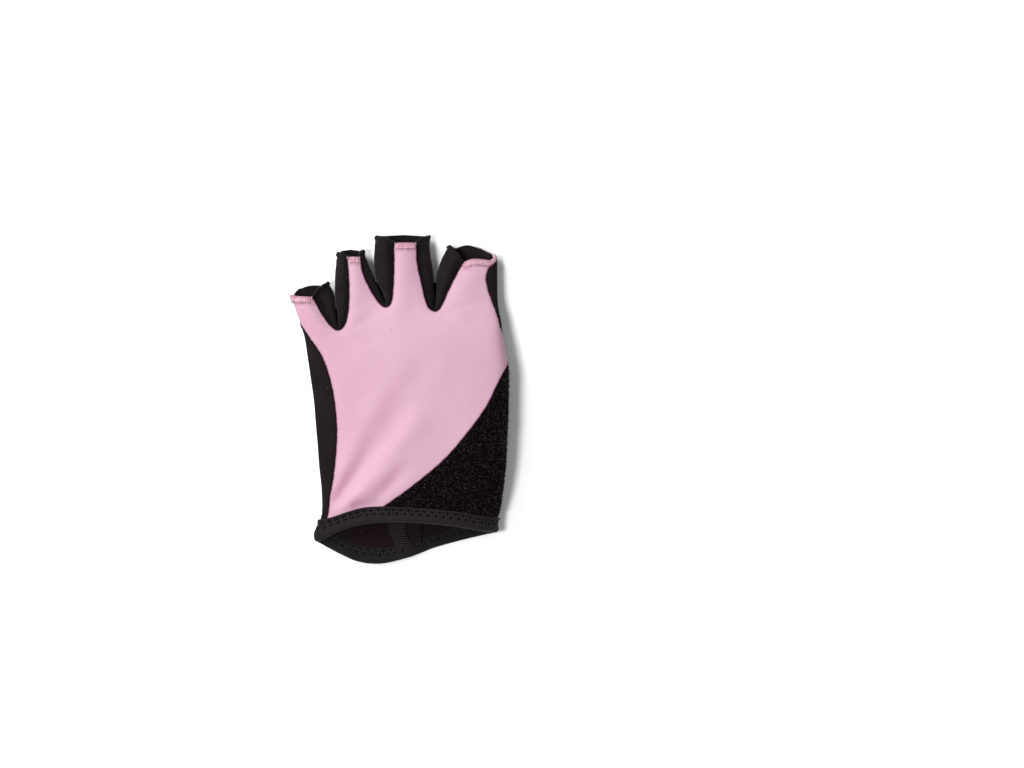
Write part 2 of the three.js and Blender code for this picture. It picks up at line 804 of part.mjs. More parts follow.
// A pad is thin at its stitched edge and full inside it
function pad(points) {
  const ring = curve([...points.map(([x, y]) => onPalm(x, y)), onPalm(...points[0])], 5);
  const outline = closed(ring);
  const high = (v, y) => {
    const point = new THREE.Vector2(v, y);
    const distances = outline.map((a, i) => {
      const b = outline[(i + 1) % outline.length];
      const edge = b.clone().sub(a);
      const t = clamp01(point.clone().sub(a).dot(edge) / edge.lengthSq());
      return point.distanceTo(a.clone().addScaledVector(edge, t));
    });
    const full = ease(0, padBevel, Math.min(...distances));
    return padGap + padEdge + (padThick - padEdge) * full;
  };
  return panel(outline, fine, padGap, high, place);
}

const heelPadPoints = [
  [-24, -48.5],
  [-9, -45.8],
  [-3, -41],
  [-3.4, -34.5],
  [-12, -24],
  [-22, -15.5],
  [-29, -10],
  [-32, -13],
  [-31.4, -30],
  [-29.6, -44],
];
const knucklePadPoints = [
  [30, 43],
  [22, 44.5],
  [13, 45.5],
  [3, 48.4],
  [-4, 46.4],
  [-10, 43.2],
  [-17, 45.4],
  [-23, 41],
  [-28, 34.6],
  [-33, 38],
  [-37, 36],
  [-38, 28],
  [-35, 21.5],
  [-26, 19],
  [-10, 20],
  [8, 23.5],
  [22, 25],
  [29.4, 28],
  [31.6, 36],
];

function ribbonLoop(left, right, low, high) {
  const outline = closed(
    polyline(onPalm(left, low), onPalm((left + right) / 2, low), onPalm(right, low)),
    polyline(onPalm(right, high), onPalm((left + right) / 2, high), onPalm(left, high))
  );
  return panel(outline, fine, gap, () => gap + ribbon, place);
}

function backPanel() {
  const outline = closed(
    seamLittle,
    cuffLine(-29, -12, cuffBackAt, onBack),
    seamTerry,
    seamIndex,
    curve([onBack(42.4, 63.2), onBack(36, 62.6), onBack(28.4, 60.9)]),
    reversed(notchTop(notchMiddleIndex, 'top')),
    reversed(notchTop(notchRingMiddle, 'top')),
    reversed(notchTop(notchLittleRing, 'top')),
    curve([onBack(-39.2, 45.6), onBack(-45, 45.7), pastLeftEdge(3.0, 46.6)])
  );
  return panel(outline, fine, -jersey, flush, place);
}

function palmPanel() {
  const seamSteps = [-50, -40, -30, -20, -10, 0, 8, 12.6];
  const outline = closed(
    seamLittle,
    polyline(onBack(-35.6, -55.1), pastLeftEdge(0, -55.5)),
    cuffLine(-35, 6.6, cuffPalmAt, onPalm),
    polyline(onPalm(6.7, -60), onPalm(6.8, -56)),
    seamSteps.map((y) => onPalm(thumbEnd(y) - gap / 2, y)),
    palmOverPatch,
    curve([onPalm(36, 67.3), onPalm(30, 68.9), onPalm(25.4, 67.6)]),
    reversed(notchUnder(notchMiddleIndex)),
    polyline(onPalm(1.3, 73.5)),
    reversed(notchUnder(notchRingMiddle)),
    polyline(onPalm(-22.4, 66.9)),
    reversed(notchUnder(notchLittleRing)),
    curve([onPalm(-34.6, 50.6), onPalm(-41, 50.6), onPalm(-46.5, 48.6), pastLeftEdge(3.0, 46.6)])
  );
  return panel(outline, fine, -suede, flush, place);
}

function thumbPanel() {
  const seamSteps = [-38, -30, -20, -10, 0, 8];
  const opening = (share) => openingAtFold.clone().lerp(openingAtPatch, share);
  const innerEnd = [thumbPlan(1, -1.2), thumbPlan(6.3, -2.4), thumbPlan(11.2, -6), thumbPlan(20, -6)];
  const outline = closed(
    cuffLine(-6, 41, cuffBackAt, onBack),
    polyline(pastRightEdge(0, -54.0)),
    cuffLine(40.6, 7.6, cuffPalmAt, onUnder),
    polyline(onUnder(7.4, -58), onUnder(7.3, -54.5), onCurl(0.35, -50), onCurl(1, -44.5)),
    seamSteps.map((y) => onInner(thumbEnd(y), y)),
    innerEnd.map((point) => onInner(point.x, point.y)),
    [0.68, 0.5, 0.25].map((share) => onInner(opening(share).x, opening(share).y)),
    polyline(onCurl(0.5, openingAtFold.y)),
    [0.25, 0.5].map((share) => onUnder(opening(share).x, opening(share).y)),
    reversed(seamArc),
    reversed(seamTerry)
  );
  return panel(outline, coarse, -terry, flush, place);
}

function thumbPatch() {
  const outline = closed(
    seamArc,
    polyline(onUnder(7.2, 35.4), onUnder(14.4, 37.6), onUnder(19.4, 32.4), onUnder(24.4, 26.8), onUnder(25.5, 14.6)),
    patchEdge,
    polyline(pastRightEdge(4, 64.4), pastRightEdge(0, 64), onBack(42.9, 63.4)),
    reversed(seamIndex)
  );
  return panel(outline, coarse, -suede, flush, placePatch);
}

function cuffTape() {
  const outline = closed(
    polyline(onPalm(-3.4, -65.4), onPalm(-3.4, -57), onPalm(-3.4, -49)),
    polyline(onPalm(4.2, -49), onPalm(4.2, -57), onPalm(4.2, -65.4))
  );
  return panel(outline, fine, -suede - gap - tape, () => -suede - gap, place);
}

const cloth = {
  pink: new THREE.MeshStandardMaterial({ color: 0xe4b6cd, roughness: 0.75, metalness: 0 }),
  suede: new THREE.MeshStandardMaterial({ color: 0x201c1c, roughness: 0.95, metalness: 0 }),
  terry: new THREE.MeshStandardMaterial({ color: 0x16100f, roughness: 1, metalness: 0 }),
  elastic: new THREE.MeshStandardMaterial({ color: 0x221d1f, roughness: 0.8, metalness: 0 }),
  ribbed: new THREE.MeshStandardMaterial({ color: 0x2a2626, roughness: 0.85, metalness: 0 }),
};

const glove = new THREE.Group();
glove.position.set(-middleX, -middleY, 0);

function piece(name, geometry, material) {
  const mesh = new THREE.Mesh(geometry, material);
  mesh.name = name;
  glove.add(mesh);
}

piece('back_panel', backPanel(), cloth.pink);
piece('palm_panel', palmPanel(), cloth.suede);
piece('thumb_panel', thumbPanel(), cloth.terry);
piece('thumb_patch', thumbPatch(), cloth.suede);
for (const [name, rows] of Object.entries(fourchettes)) {
  piece(name, fourchette(rows), cloth.elastic);
}
piece('cuff_binding', cuffBinding(), cloth.elastic);
piece('heel_pad', pad(heelPadPoints), cloth.suede);
piece('knuckle_pad', pad(knucklePadPoints), cloth.suede);
piece('pull_tab_middle', ribbonLoop(-7.6, 10.4, 61.5, 71.5), cloth.ribbed);
piece('pull_tab_little', ribbonLoop(-46, -35.6, 41.5, 49.4), cloth.ribbed);
piece('cuff_tape', cuffTape(), cloth.ribbed);

export default glove;
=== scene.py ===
import math

import bpy
import numpy as np
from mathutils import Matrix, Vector
from mathutils.geometry import delaunay_2d_cdt


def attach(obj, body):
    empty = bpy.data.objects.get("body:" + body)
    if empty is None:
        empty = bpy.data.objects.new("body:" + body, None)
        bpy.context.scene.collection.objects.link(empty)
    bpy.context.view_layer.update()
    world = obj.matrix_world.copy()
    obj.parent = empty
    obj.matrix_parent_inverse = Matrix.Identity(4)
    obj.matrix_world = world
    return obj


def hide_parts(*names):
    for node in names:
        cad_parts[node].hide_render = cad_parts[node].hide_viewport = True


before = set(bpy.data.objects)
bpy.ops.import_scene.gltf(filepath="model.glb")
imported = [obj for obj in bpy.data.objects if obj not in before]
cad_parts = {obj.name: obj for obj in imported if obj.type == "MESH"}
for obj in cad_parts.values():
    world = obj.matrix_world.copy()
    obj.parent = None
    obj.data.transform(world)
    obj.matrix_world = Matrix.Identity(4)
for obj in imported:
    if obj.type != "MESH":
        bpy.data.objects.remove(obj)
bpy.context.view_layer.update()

# A left-hand short-finger cycling glove, lying palm down. Lengths are in millimetres until a mesh is
# made. Every panel is cut in a pattern plane (v, y) and bent round the hand by place().
MM = 0.001
MIDDLE = np.array([-0.31, -0.46, 0.0])
QUARTER = math.pi / 2

JERSEY, SUEDE, TERRY, RIBBON, TAPE = 1.1, 1.2, 1.8, 1.0, 0.8
PAD_THICK, PAD_EDGE, PAD_BEVEL, PAD_GAP, GAP = 2.0, 0.9, 4.5, 0.65, 0.3
PALM_BASE = PAD_THICK + PAD_GAP
CUFF_REACH, CUFF_LIFT, THUMB_CLEAR, THUMB_TAPER = -1.8, 0.45, 0.6, 0.4
EDGE_RADIUS, FOLD_WIDEST, FLAP_READY = 2.5, 4.0, 5.0
BACK_STATION, ROLL_LEFT_UNDER = 0.75, 4.2
CROWN_WIDTH, CROWN_RUN = 6.5, 20.0


def ease(low, high, value):
    t = np.clip((value - low) / (high - low), 0, 1)
    return t * t * (3 - 2 * t)


def smooth(at, values):
    """A smooth curve through the points of a table."""
    i = np.arange(len(at))
    low, high = np.maximum(i - 1, 0), np.minimum(i + 1, len(at) - 1)
    slopes = (values[high] - values[low]) / (at[high] - at[low])

    def curve(x):
        x = np.clip(x, at[0], at[-1])
        k = np.clip(np.searchsorted(at, x, side="right") - 1, 0, len(at) - 2)
        h = at[k + 1] - at[k]
        t = (x - at[k]) / h
        return (values[k] + (values[k + 1] - values[k]) * t * t * (3 - 2 * t)
                + h * t * (1 - t) * (slopes[k] * (1 - t) - slopes[k + 1] * t))

    return curve


def curves(names, rows):
    """A smooth curve over a table's first column for each of its other columns."""
    first, *others = np.array(rows, float).T
    return {name: smooth(first, column) for name, column in zip(names.split()[1:], others)}


left_at, right_at = curves("y left right", [
    (-76, -38.0, 43.2), (-62, -38.2, 43.4), (-57, -37.4, 43.9), (-52, -35.4, 44.8),
    (-42, -35.4, 46.2), (-30, -36.5, 47.5), (-14, -37.8, 48.3), (0, -39.1, 48.6),
    (13, -41.0, 48.6), (20, -42.0, 47.6), (28, -43.2, 46.2), (34, -45.4, 45.6),
    (40, -47.2, 44.4), (46, -49.2, 43.8), (52, -50.2, 43.8), (64, -50.4, 43.6),
    (76, -50.4, 42.0),
]).values()
height_at = curves("y back_left back_middle back_right side_left side_right roll_left roll_right", [
    (-76, 10.0, 16.0, 15.5, 5.7, 7.6, 8, 10),
    (-56, 10.5, 16.5, 16.5, 5.7, 8.0, 8, 10),
    (-30, 11.5, 18.5, 20.5, 5.9, 9.0, 8, 11),
    (0, 12.0, 20.5, 22.0, 6.0, 9.4, 8, 11),
    (18, 12.3, 20.3, 21.0, 6.0, 9.0, 8, 11),
    (36, 13.2, 18.0, 18.0, 6.2, 8.0, 7, 9),
    (46, 13.4, 17.0, 16.0, 6.4, 7.4, 6, 8),
    (62, 12.6, 15.5, 14.0, 6.4, 6.8, 6, 7),
    (76, 11.5, 14.5, 12.5, 6.0, 6.4, 6, 7),
])
fold_at, thumb_rise_at = curves("y fold height", [
    (-76, 7.2, 5.0), (-61, 6.9, 5.0), (-41, 6.9, 5.6), (-25, 2.9, 7.2), (0, -4.5, 8.6),
    (21, -12.4, 9.0), (36, -16.8, 8.8),
]).values()
cuff_back_at, cuff_palm_at, binding_wide_at = curves("x back palm wide", [
    (-38.5, -64.6, -64.6, 9.4), (-34.6, -64.0, -66.4, 9.4), (-27, -60.0, -70.4, 8.2),
    (-19, -57.3, -73.8, 7.7), (-9, -56.0, -74.8, 7.0), (3, -56.0, -72.2, 6.5),
    (15, -56.8, -67.8, 6.5), (27, -58.2, -64.4, 6.5), (36, -59.8, -62.3, 6.5),
    (43.5, -60.7, -60.7, 6.6),
]).values()
CROTCH, THUMB_TIP, THUMB_SEAM_FOOT = np.array([(26.0, 13.0), (8.6, 32.4), (8.0, -54.0)])
OPENING_AT_FOLD, OPENING_AT_PATCH = np.array([(-13.0, 24.3), (7.2, 36.0)])

# Folds in the back: a route in plan, the slope up to its right at its start and end, its width there, and how
# far along it starts to fade
FOLDS = [
    ([(-31.5, -51.5), (-29.7, -45.9), (-24.8, -36.9), (-20.3, -28.8), (-17.1, -21.2), (-12.6, -12.2),
      (-6.8, -3.2), (-2.3, 3.6), (3.6, 10.4), (9, 19.4), (13.5, 26.1)], -0.52, -0.09, 3.0, 8.6, 0.84),
    ([(-30, -52), (-27.9, -48.2), (-20.3, -40.1), (-14.4, -32.4), (-6.8, -23.4), (0, -14.4), (5.4, -6.3),
      (11.3, 0)], 0.50, 0.20, 3.4, 8.0, 0.80),
    ([(-23.6, -49.6), (-12.6, -44.6), (-6.8, -38.3), (-0.9, -32), (3.6, -27.9), (6.8, -25.6)],
     -0.30, -0.42, 5.0, 3.8, 0.55),
    ([(-6, -45), (5, -35.5), (16, -25), (25, -14)], -0.08, -0.05, 6.5, 8.0, 0.6),
    ([(-42, 43.5), (-38, 39), (-34, 34), (-29.5, 28.5)], 0.30, 0.24, 4.0, 4.0, 0.7),
]
# Fingers under the back: where each starts and ends in plan, and how high it stands
FINGERS = [(-34, 20, -45, 48, 1.5), (-22, 24, -21, 65, 1.5), (-2, 26, 2.4, 71, 1.5), (22, 24, 37, 64, 0.9)]

# Notches between the fingers: back seam, palm seam, and how far out the strip between them reaches
NOTCHES = {
    "fourchette_little_ring": [
        (-39.2, 45.6, -34.6, 50.6, -32.6, 52.0), (-35.8, 39.2, -32.7, 46.4, -29.9, 47.4),
        (-32.0, 33.6, -31.0, 42.2, -28.9, 39.5), (-28.6, 30.6, -29.2, 40.2, -27.7, 33.4),
        (-25.2, 32.2, -27.7, 42.0, -28.4, 38.5), (-23.2, 39.5, -27.0, 48.4, -29.3, 44.5),
        (-22.9, 51.0, -26.9, 57.4, -29.5, 54.0), (-23.8, 63.5, -27.0, 66.2, -28.3, 65.0),
    ],
    "fourchette_ring_middle": [
        (-17.6, 63.5, -18.0, 66.2, -16.3, 66.4), (-16.6, 56.4, -15.6, 60.2, -13.9, 60.0),
        (-12.9, 48.2, -13.0, 54.6, -10.9, 52.6), (-9.2, 42.6, -11.9, 52.0, -8.1, 46.5),
        (-6.5, 40.9, -11.0, 51.2, -6.4, 43.4), (-4.0, 42.8, -10.1, 52.4, -7.7, 46.8),
        (-3.1, 49.0, -9.3, 56.6, -10.4, 52.8), (-2.7, 59.0, -8.8, 64.0, -11.8, 61.5),
        (-2.8, 69.8, -8.8, 72.9, -10.9, 72.6),
    ],
    "fourchette_middle_index": [
        (7.6, 69.8, 11.4, 72.9, 13.2, 72.8), (7.9, 61.0, 12.2, 64.8, 13.9, 63.5),
        (9.6, 52.6, 13.3, 57.4, 15.1, 55.8), (12.2, 42.2, 15.0, 52.8, 15.4, 47.5),
        (15.6, 39.1, 16.3, 51.8, 15.9, 41.6), (18.6, 41.2, 17.7, 52.8, 16.2, 47.0),
        (21.8, 48.2, 19.4, 56.6, 16.4, 55.0), (25.4, 55.4, 22.3, 62.0, 18.3, 61.8),
        (28.4, 60.9, 25.4, 67.6, 21.9, 68.3),
    ],
}


def unit(v):
    return v / np.maximum(1e-9, np.linalg.norm(v, axis=-1, keepdims=True))


def bell(d, width):
    return np.exp(-((d / width) ** 2))


def runs_of(line):
    """How far each point of a line lies along it."""
    return np.concatenate([[0], np.cumsum(np.linalg.norm(np.diff(line, axis=0), axis=1))])


def nearest(x, y, line, loop=False):
    """Distance of points from a line, positive on its right, and how far along it the nearest place is."""
    best, along, done = np.full(np.shape(x), 1e9), np.zeros(np.shape(x)), 0.0
    for (ax, ay), (bx, by) in zip(line, np.roll(line, -1, axis=0) if loop else line[1:]):
        run, rise = bx - ax, by - ay
        length = max(1e-9, math.hypot(run, rise))
        px, py = x - ax, y - ay
        t = np.clip((px * run + py * rise) / length ** 2, 0, 1)
        d = np.hypot(px - t * run, py - t * rise)
        nearer = d < np.abs(best)
        along = np.where(nearer, done + t * length, along)
        best = np.where(nearer, np.where(px * rise > py * run, d, -d), best)
        done += length
    return best, along


def distance(x, y, line, loop=False):
    return np.abs(nearest(x, y, line, loop)[0])


def along_route(route, x, y):
    """Distance from a route, positive on its right, and the share of it before the nearest place."""
    d, along = nearest(x, y, route)
    return d, along / runs_of(route)[-1]


ALONG_THUMB = unit(THUMB_TIP - CROTCH)
ACROSS_THUMB = np.array([ALONG_THUMB[1], -ALONG_THUMB[0]])
OPENING_RUN = unit(OPENING_AT_PATCH - OPENING_AT_FOLD)
OPENING_OUT = np.array([-OPENING_RUN[1], OPENING_RUN[0]])


def past(x, y, start, way):
    """How far points lie from a start, measured one way in plan."""
    return (x - start[0]) * way[0] + (y - start[1]) * way[1]


def thumb_plan(along, across):
    """Places in plan, from how far they lie along and across the thumb."""
    return CROTCH + np.multiply.outer(along, ALONG_THUMB) + np.multiply.outer(across, ACROSS_THUMB)


def thumb_end(y):
    """The seam on the thumb's outer side, below and above the crotch."""
    foot, tip = (CROTCH[0] + (end[0] - CROTCH[0]) * (y - CROTCH[1]) / (end[1] - CROTCH[1])
                 for end in (THUMB_SEAM_FOOT, THUMB_TIP))
    return np.where(y < CROTCH[1], foot, tip)


def thumb_height(x, y):
    depth = thumb_end(y) - fold_at(y)
    depth = np.where(np.abs(depth) < 1e-6, 1e-6, depth)
    across = np.clip((x - fold_at(y)) / depth, 0, 1)
    return thumb_rise_at(y) * (1 - THUMB_TAPER * ease(4, 24, depth) * across * across)


def folds_in(x, y, slope=False):
    """Height of the folds, or the slope across them."""
    total = 0.0
    for route, start, end, narrow, wide, fade in FOLDS:
        d, share = along_route(route, x, y)
        steep = end + (start - end) * (1 - share) ** (3 if start < end else 1)
        steep = steep * ease(0, 0.08, share) * (1 - ease(fade, 1.0, share))
        width = narrow + (wide - narrow) * share
        shape = 1 - 2 * (d / width) ** 2 if slope else d
        total = total + steep * shape * bell(d, width)
    return total


def crowns_in(x, y):
    """The roundness that each finger gives the back."""
    total = 0.0
    for base_x, base_y, tip_x, tip_y, rise in FINGERS:
        axis = base_x + (y - base_y) / (tip_y - base_y) * (tip_x - base_x)
        start = ease(base_y, base_y + CROWN_RUN, y)
        total = total + rise * start * (bell(x - axis, CROWN_WIDTH) - 0.5)
    return total


def back_height(x, y):
    left, right = left_at(y), right_at(y)
    across = (2 * x - left - right) / (right - left)
    low, middle, high = (height_at[k](y) for k in ("back_left", "back_middle", "back_right"))
    slope = (high - low) / (2 * BACK_STATION)
    bend = (high + low - 2 * middle) / (2 * BACK_STATION ** 2)
    return middle + slope * across + bend * across * across + folds_in(x, y) + crowns_in(x, y)


def palm_height(x, y):
    """The palm lies on its pads, and rises over the folded thumb."""
    fold = fold_at(y)
    over = (ease(fold - 21, fold - 1, x) * (1 - ease(2, 24, past(x, y, OPENING_AT_FOLD, OPENING_OUT)))
            * (1 - ease(1, 15, past(x, y, CROTCH, ACROSS_THUMB))) * ease(-65, -54, y))
    return PALM_BASE * (1 - over * (1 - ease(8, 18, y))) + over * (thumb_height(x, y) + THUMB_CLEAR)


def quarter(wide, high):
    """Length of a quarter of an ellipse."""
    return QUARTER * np.hypot(wide, high) / math.sqrt(2)


def shoulder_curve(power):
    """A quarter of a squared-off ellipse: shares of its length, and where they lie."""
    t = np.linspace(0, QUARTER, 2000)
    x, z = np.sin(t) ** (2 / power), np.cos(t) ** (2 / power)
    run = runs_of(np.stack([x, z], -1))
    return run / run[-1], x, z


SHOULDER_RUN, SHOULDER_X, SHOULDER_Z = shoulder_curve(4.5)


class Section:
    """One row of the pattern: where its flat stretches start, and how much cloth each roll takes."""

    def __init__(self, y):
        y = np.asarray(y, float)
        self.roll_left, self.roll_right = height_at["roll_left"](y), height_at["roll_right"](y)
        self.side_left, self.side_right = height_at["side_left"](y), height_at["side_right"](y)
        self.left_start = left_at(y) + self.roll_left
        self.right_start = right_at(y) - self.roll_right
        self.palm_start = left_at(y) + ROLL_LEFT_UNDER
        self.square = ease(-58, -40, y)
        self.floor = CUFF_LIFT * (1 - ease(-54, -46, y))
        self.fold_wide = np.minimum(FOLD_WIDEST, thumb_rise_at(y) / 2)
        self.fold_start = fold_at(y) + self.fold_wide
        self.fold_high = thumb_height(self.fold_start, y)
        self.fold_length = 2 * quarter(self.fold_wide, self.fold_high / 2)
        self.left_over = quarter(self.roll_left, back_height(self.left_start, y) - self.side_left)
        self.left_under = quarter(ROLL_LEFT_UNDER, self.side_left - PALM_BASE)
        self.right_over = quarter(self.roll_right, back_height(self.right_start, y) - self.side_right)
        self.right_under = quarter(self.roll_right, self.side_right - self.floor)

    def shoulder(self, depth, y):
        """Height that the roll on the little-finger side springs from."""
        return back_height(self.left_start - depth + depth * depth / (2 * self.roll_left), y)


def place_left(s, run, y):
    """Round the little-finger side, then along the palm."""
    turn = QUARTER * np.clip(run / s.left_over, 0, 1)
    depth = s.roll_left * np.sin(turn)
    over_z = s.side_left + (s.shoulder(depth, y) - s.side_left) * np.cos(turn)
    under = run - s.left_over
    turn = QUARTER * np.clip(under / s.left_under, 0, 1)
    roll_x = s.palm_start - ROLL_LEFT_UNDER * np.cos(turn)
    roll_z = s.side_left - (s.side_left - palm_height(roll_x, y)) * np.sin(turn)
    flat_x = s.palm_start + under - s.left_under
    beyond = np.clip((flat_x - s.right_start) / s.roll_right, 0, 1)
    flat_z = palm_height(flat_x, y) + s.side_right * (1 - np.sqrt(1 - beyond * beyond))
    steps = [under < 0, under < s.left_under]
    return (np.select(steps, [s.left_start - depth, roll_x], flat_x),
            np.select(steps, [over_z, roll_z], flat_z))


def place_right(s, run, y):
    """Round the thumb side, along the surface below, round the thumb's free fold and back over it."""
    share = np.clip(run / s.right_over, 0, 1)
    turn = QUARTER * share
    across = np.sin(turn) + (np.interp(share, SHOULDER_RUN, SHOULDER_X) - np.sin(turn)) * s.square
    down = np.cos(turn) + (np.interp(share, SHOULDER_RUN, SHOULDER_Z) - np.cos(turn)) * s.square
    over_x = s.right_start + s.roll_right * across
    over_z = s.side_right + (back_height(over_x, y) - s.side_right) * down
    under = run - s.right_over
    turn = QUARTER * np.clip(under / s.right_under, 0, 1)
    roll_x = s.right_start + s.roll_right * np.cos(turn)
    roll_z = s.side_right - (s.side_right - s.floor) * np.sin(turn)
    flat_x = s.right_start - (under - s.right_under)
    curl = s.fold_start - flat_x
    turn = math.pi * np.clip(curl / s.fold_length, 0, 1)
    curl_x = s.fold_start - s.fold_wide * np.sin(turn)
    curl_z = s.floor + (s.fold_high - s.floor) / 2 * (1 - np.cos(turn))
    inner_x = s.fold_start + curl - s.fold_length
    steps = [under < 0, under < s.right_under, flat_x > s.fold_start, curl < s.fold_length]
    return (np.select(steps, [over_x, roll_x, flat_x, curl_x], inner_x),
            np.select(steps, [over_z, roll_z, s.floor, curl_z], thumb_height(inner_x, y)))


def place(v, y):
    """Bends pattern points round the hand: the glove's outer face."""
    v, y = np.broadcast_arrays(np.asarray(v, float), np.asarray(y, float))
    s = Section(y)
    sides = [v < s.left_start, v > s.right_start]
    left_x, left_z = place_left(s, s.left_start - v, y)
    right_x, right_z = place_right(s, v - s.right_start, y)
    return np.stack([np.select(sides, [left_x, right_x], v), y,
                     np.select(sides, [left_z, right_z], back_height(v, y))], -1)


def place_patch(v, y):
    """The patch's flap turns up round the thumb's inner edge and back over the thumb."""
    x, y, z = np.moveaxis(place(v, y), -1, 0)
    beyond = past(x, y, CROTCH, ACROSS_THUMB) + EDGE_RADIUS
    along = past(x, y, CROTCH, ALONG_THUMB)
    roll = math.pi * EDGE_RADIUS
    turn = math.pi * np.clip(beyond / roll, 0, 1)
    across = EDGE_RADIUS * (np.sin(turn) - 1) - np.maximum(0, beyond - roll)
    flap_x, flap_y = np.moveaxis(thumb_plan(along, across), -1, 0)
    rise = thumb_height(flap_x, flap_y) / 2 * (1 - np.cos(turn))
    turned = (z <= CUFF_LIFT) & (x <= CROTCH[0]) & (beyond > 0) & (along > 0)
    ready = np.where(turned, ease(0, FLAP_READY, along), 0)
    return np.stack([x + (flap_x - x) * ready, y + (flap_y - y) * ready, z + rise * ready], -1)


# Places on the hand, in plan, as points of the pattern

def arc_share(height):
    """Share of a quarter turn whose sine is this height."""
    return np.arcsin(np.clip(height, 0, 1)) / QUARTER


def pattern(v, y):
    return np.stack(np.broadcast_arrays(v, np.asarray(y, float)), -1)


def past_left(over, y):
    s = Section(y)
    return pattern(s.left_start - s.left_over - over, y)


def past_right(over, y):
    s = Section(y)
    return pattern(s.right_start + s.right_over + over, y)


def on_back(x, y):
    s = Section(y)
    left = s.left_start - s.left_over * arc_share((s.left_start - x) / s.roll_left)
    reach = np.clip((x - s.right_start) / s.roll_right, 0, 1)
    share = arc_share(reach)
    squared = np.interp(reach, SHOULDER_X, SHOULDER_RUN)
    right = s.right_start + s.right_over * (share + (squared - share) * s.square)
    return pattern(np.select([x < s.left_start, x > s.right_start], [left, right], x), y)


def on_palm(x, y):
    s = Section(y)
    roll = s.left_under * (1 - arc_share((s.palm_start - x) / ROLL_LEFT_UNDER))
    return past_left(np.where(x < s.palm_start, roll, s.left_under + x - s.palm_start), y)


def on_under(x, y):
    s = Section(y)
    roll = s.right_under * (1 - arc_share((x - s.right_start) / s.roll_right))
    return past_right(np.where(x > s.right_start, roll, s.right_under + s.right_start - x), y)


def on_curl(share, y):
    s = Section(y)
    return on_under(s.fold_start - share * s.fold_length, y)


def on_inner(x, y):
    return on_curl(1, y) + [x - Section(y).fold_start, 0]


def mapped(point, pairs):
    return [point(x, y) for x, y in pairs]


# Lines in the pattern plane

FINE = 0.7


def dense(points, step=FINE):
    """Points along straight stretches, about a step apart."""
    points = np.array(points, float)
    out = [points[:1]]
    for a, b in zip(points, points[1:]):
        n = max(1, int(round(np.linalg.norm(b - a) / step)))
        out.append(a + (b - a) * (np.arange(1, n + 1) / n)[:, None])
    return np.concatenate(out)


def sample(at, runs, values):
    """Values at places along a line, whose points lie at these runs."""
    return np.stack([np.interp(at, runs, column) for column in values.T], -1)


def spline(points, step=FINE):
    """A smooth curve through points, sampled about a step apart."""
    p = np.array(points, float)
    last = len(p) - 1

    def at(t):
        k = np.minimum(np.floor(t).astype(int), last)
        w = (t - k)[:, None]
        a, b, c, d = (p[np.clip(k + i, 0, last)] for i in (-1, 0, 1, 2))
        m0, m1 = (c - a) * 0.5, (d - b) * 0.5
        return (2 * b - 2 * c + m0 + m1) * w ** 3 + (-3 * b + 3 * c - 2 * m0 - m1) * w ** 2 + m0 * w + b

    rough = np.linspace(0, last, 40 * last + 1)
    runs = runs_of(at(rough))
    count = max(2, int(round(runs[-1] / step)))
    return at(np.interp(np.linspace(0, runs[-1], count + 1), runs, rough))


def beside(line, reach):
    """A pattern line moved to its left."""
    t = unit(np.gradient(line, axis=0))
    return line + np.stack([-t[:, 1], t[:, 0]], -1) * reach


SEAM_LITTLE = spline([past_left(3.0, 46.6), past_left(2.8, 41), past_left(1.8, 35.5)] + mapped(on_back, [
    (-42.6, 29.2), (-36.9, 21.2), (-32.6, 11.5), (-29.9, 0), (-28.6, -14.4), (-29.6, -30), (-32.0, -46),
    (-33.3, -54.9)]))
SEAM_TERRY = spline(mapped(on_back, [
    (-7.8, -49.1), (4, -41), (19.8, -27.9), (31.5, -14.4), (39.2, -3.6), (44.6, 7.2), (47.9, 13.2)])
    + [past_right(1.8, 17.5), past_right(5, 22)])
SEAM_INDEX = spline([past_right(5, 22), past_right(2.2, 26)] + mapped(on_back, [
    (45.7, 30.5), (44.2, 36.5), (41.0, 45.2), (39.1, 52.5), (39.4, 56.4), (40.5, 58.7), (42.0, 60.0),
    (43.0, 61.1), (43.4, 62.3)]))
SEAM_ARC = spline([past_right(5, 22), past_right(9, 13)] + mapped(on_under, [
    (41.6, 5), (39, 0.2), (33.3, -1.2), (26.1, 0.9), (18.9, 6.3), (10.8, 16.2), (4.5, 23.4), (0.9, 31.8)]))
PATCH_EDGE_POINTS = [(26.7, 13.6), (28.8, 19), (32, 27), (35.2, 38), (37.8, 49.5), (38.6, 60), (39.4, 64.6)]
PALM_LAP = 2.6
PATCH_EDGE = spline(mapped(on_under, PATCH_EDGE_POINTS))
PALM_OVER_PATCH = spline(mapped(on_palm, [(x + PALM_LAP, y) for x, y in PATCH_EDGE_POINTS[1:]]))
NOTCH_TOP = [spline([on_back(*row[:2]) for row in rows]) for rows in NOTCHES.values()]
NOTCH_UNDER = [spline([on_palm(*row[2:4]) for row in rows]) for rows in NOTCHES.values()]


def cuff_line(start, stop, end, point):
    x = np.linspace(start, stop, int(abs(stop - start) / FINE) + 2)
    return point(x, end(x) + binding_wide_at(x) + CUFF_REACH)


def closed(*lines):
    """One outline, counter-clockwise, from lines that follow each other."""
    points = np.concatenate([np.atleast_2d(line) for line in lines])
    points = dense(np.concatenate([points, points[:1]]))
    keep = [points[0]]
    for point in points[1:]:
        if np.linalg.norm(point - keep[-1]) > 0.2:
            keep.append(point)
    if np.linalg.norm(keep[0] - keep[-1]) < 0.2:
        keep.pop()
    ring = np.array(keep)
    x, y = ring.T
    area = np.sum(x * np.roll(y, -1) - np.roll(x, -1) * y)
    return ring if area > 0 else ring[::-1]


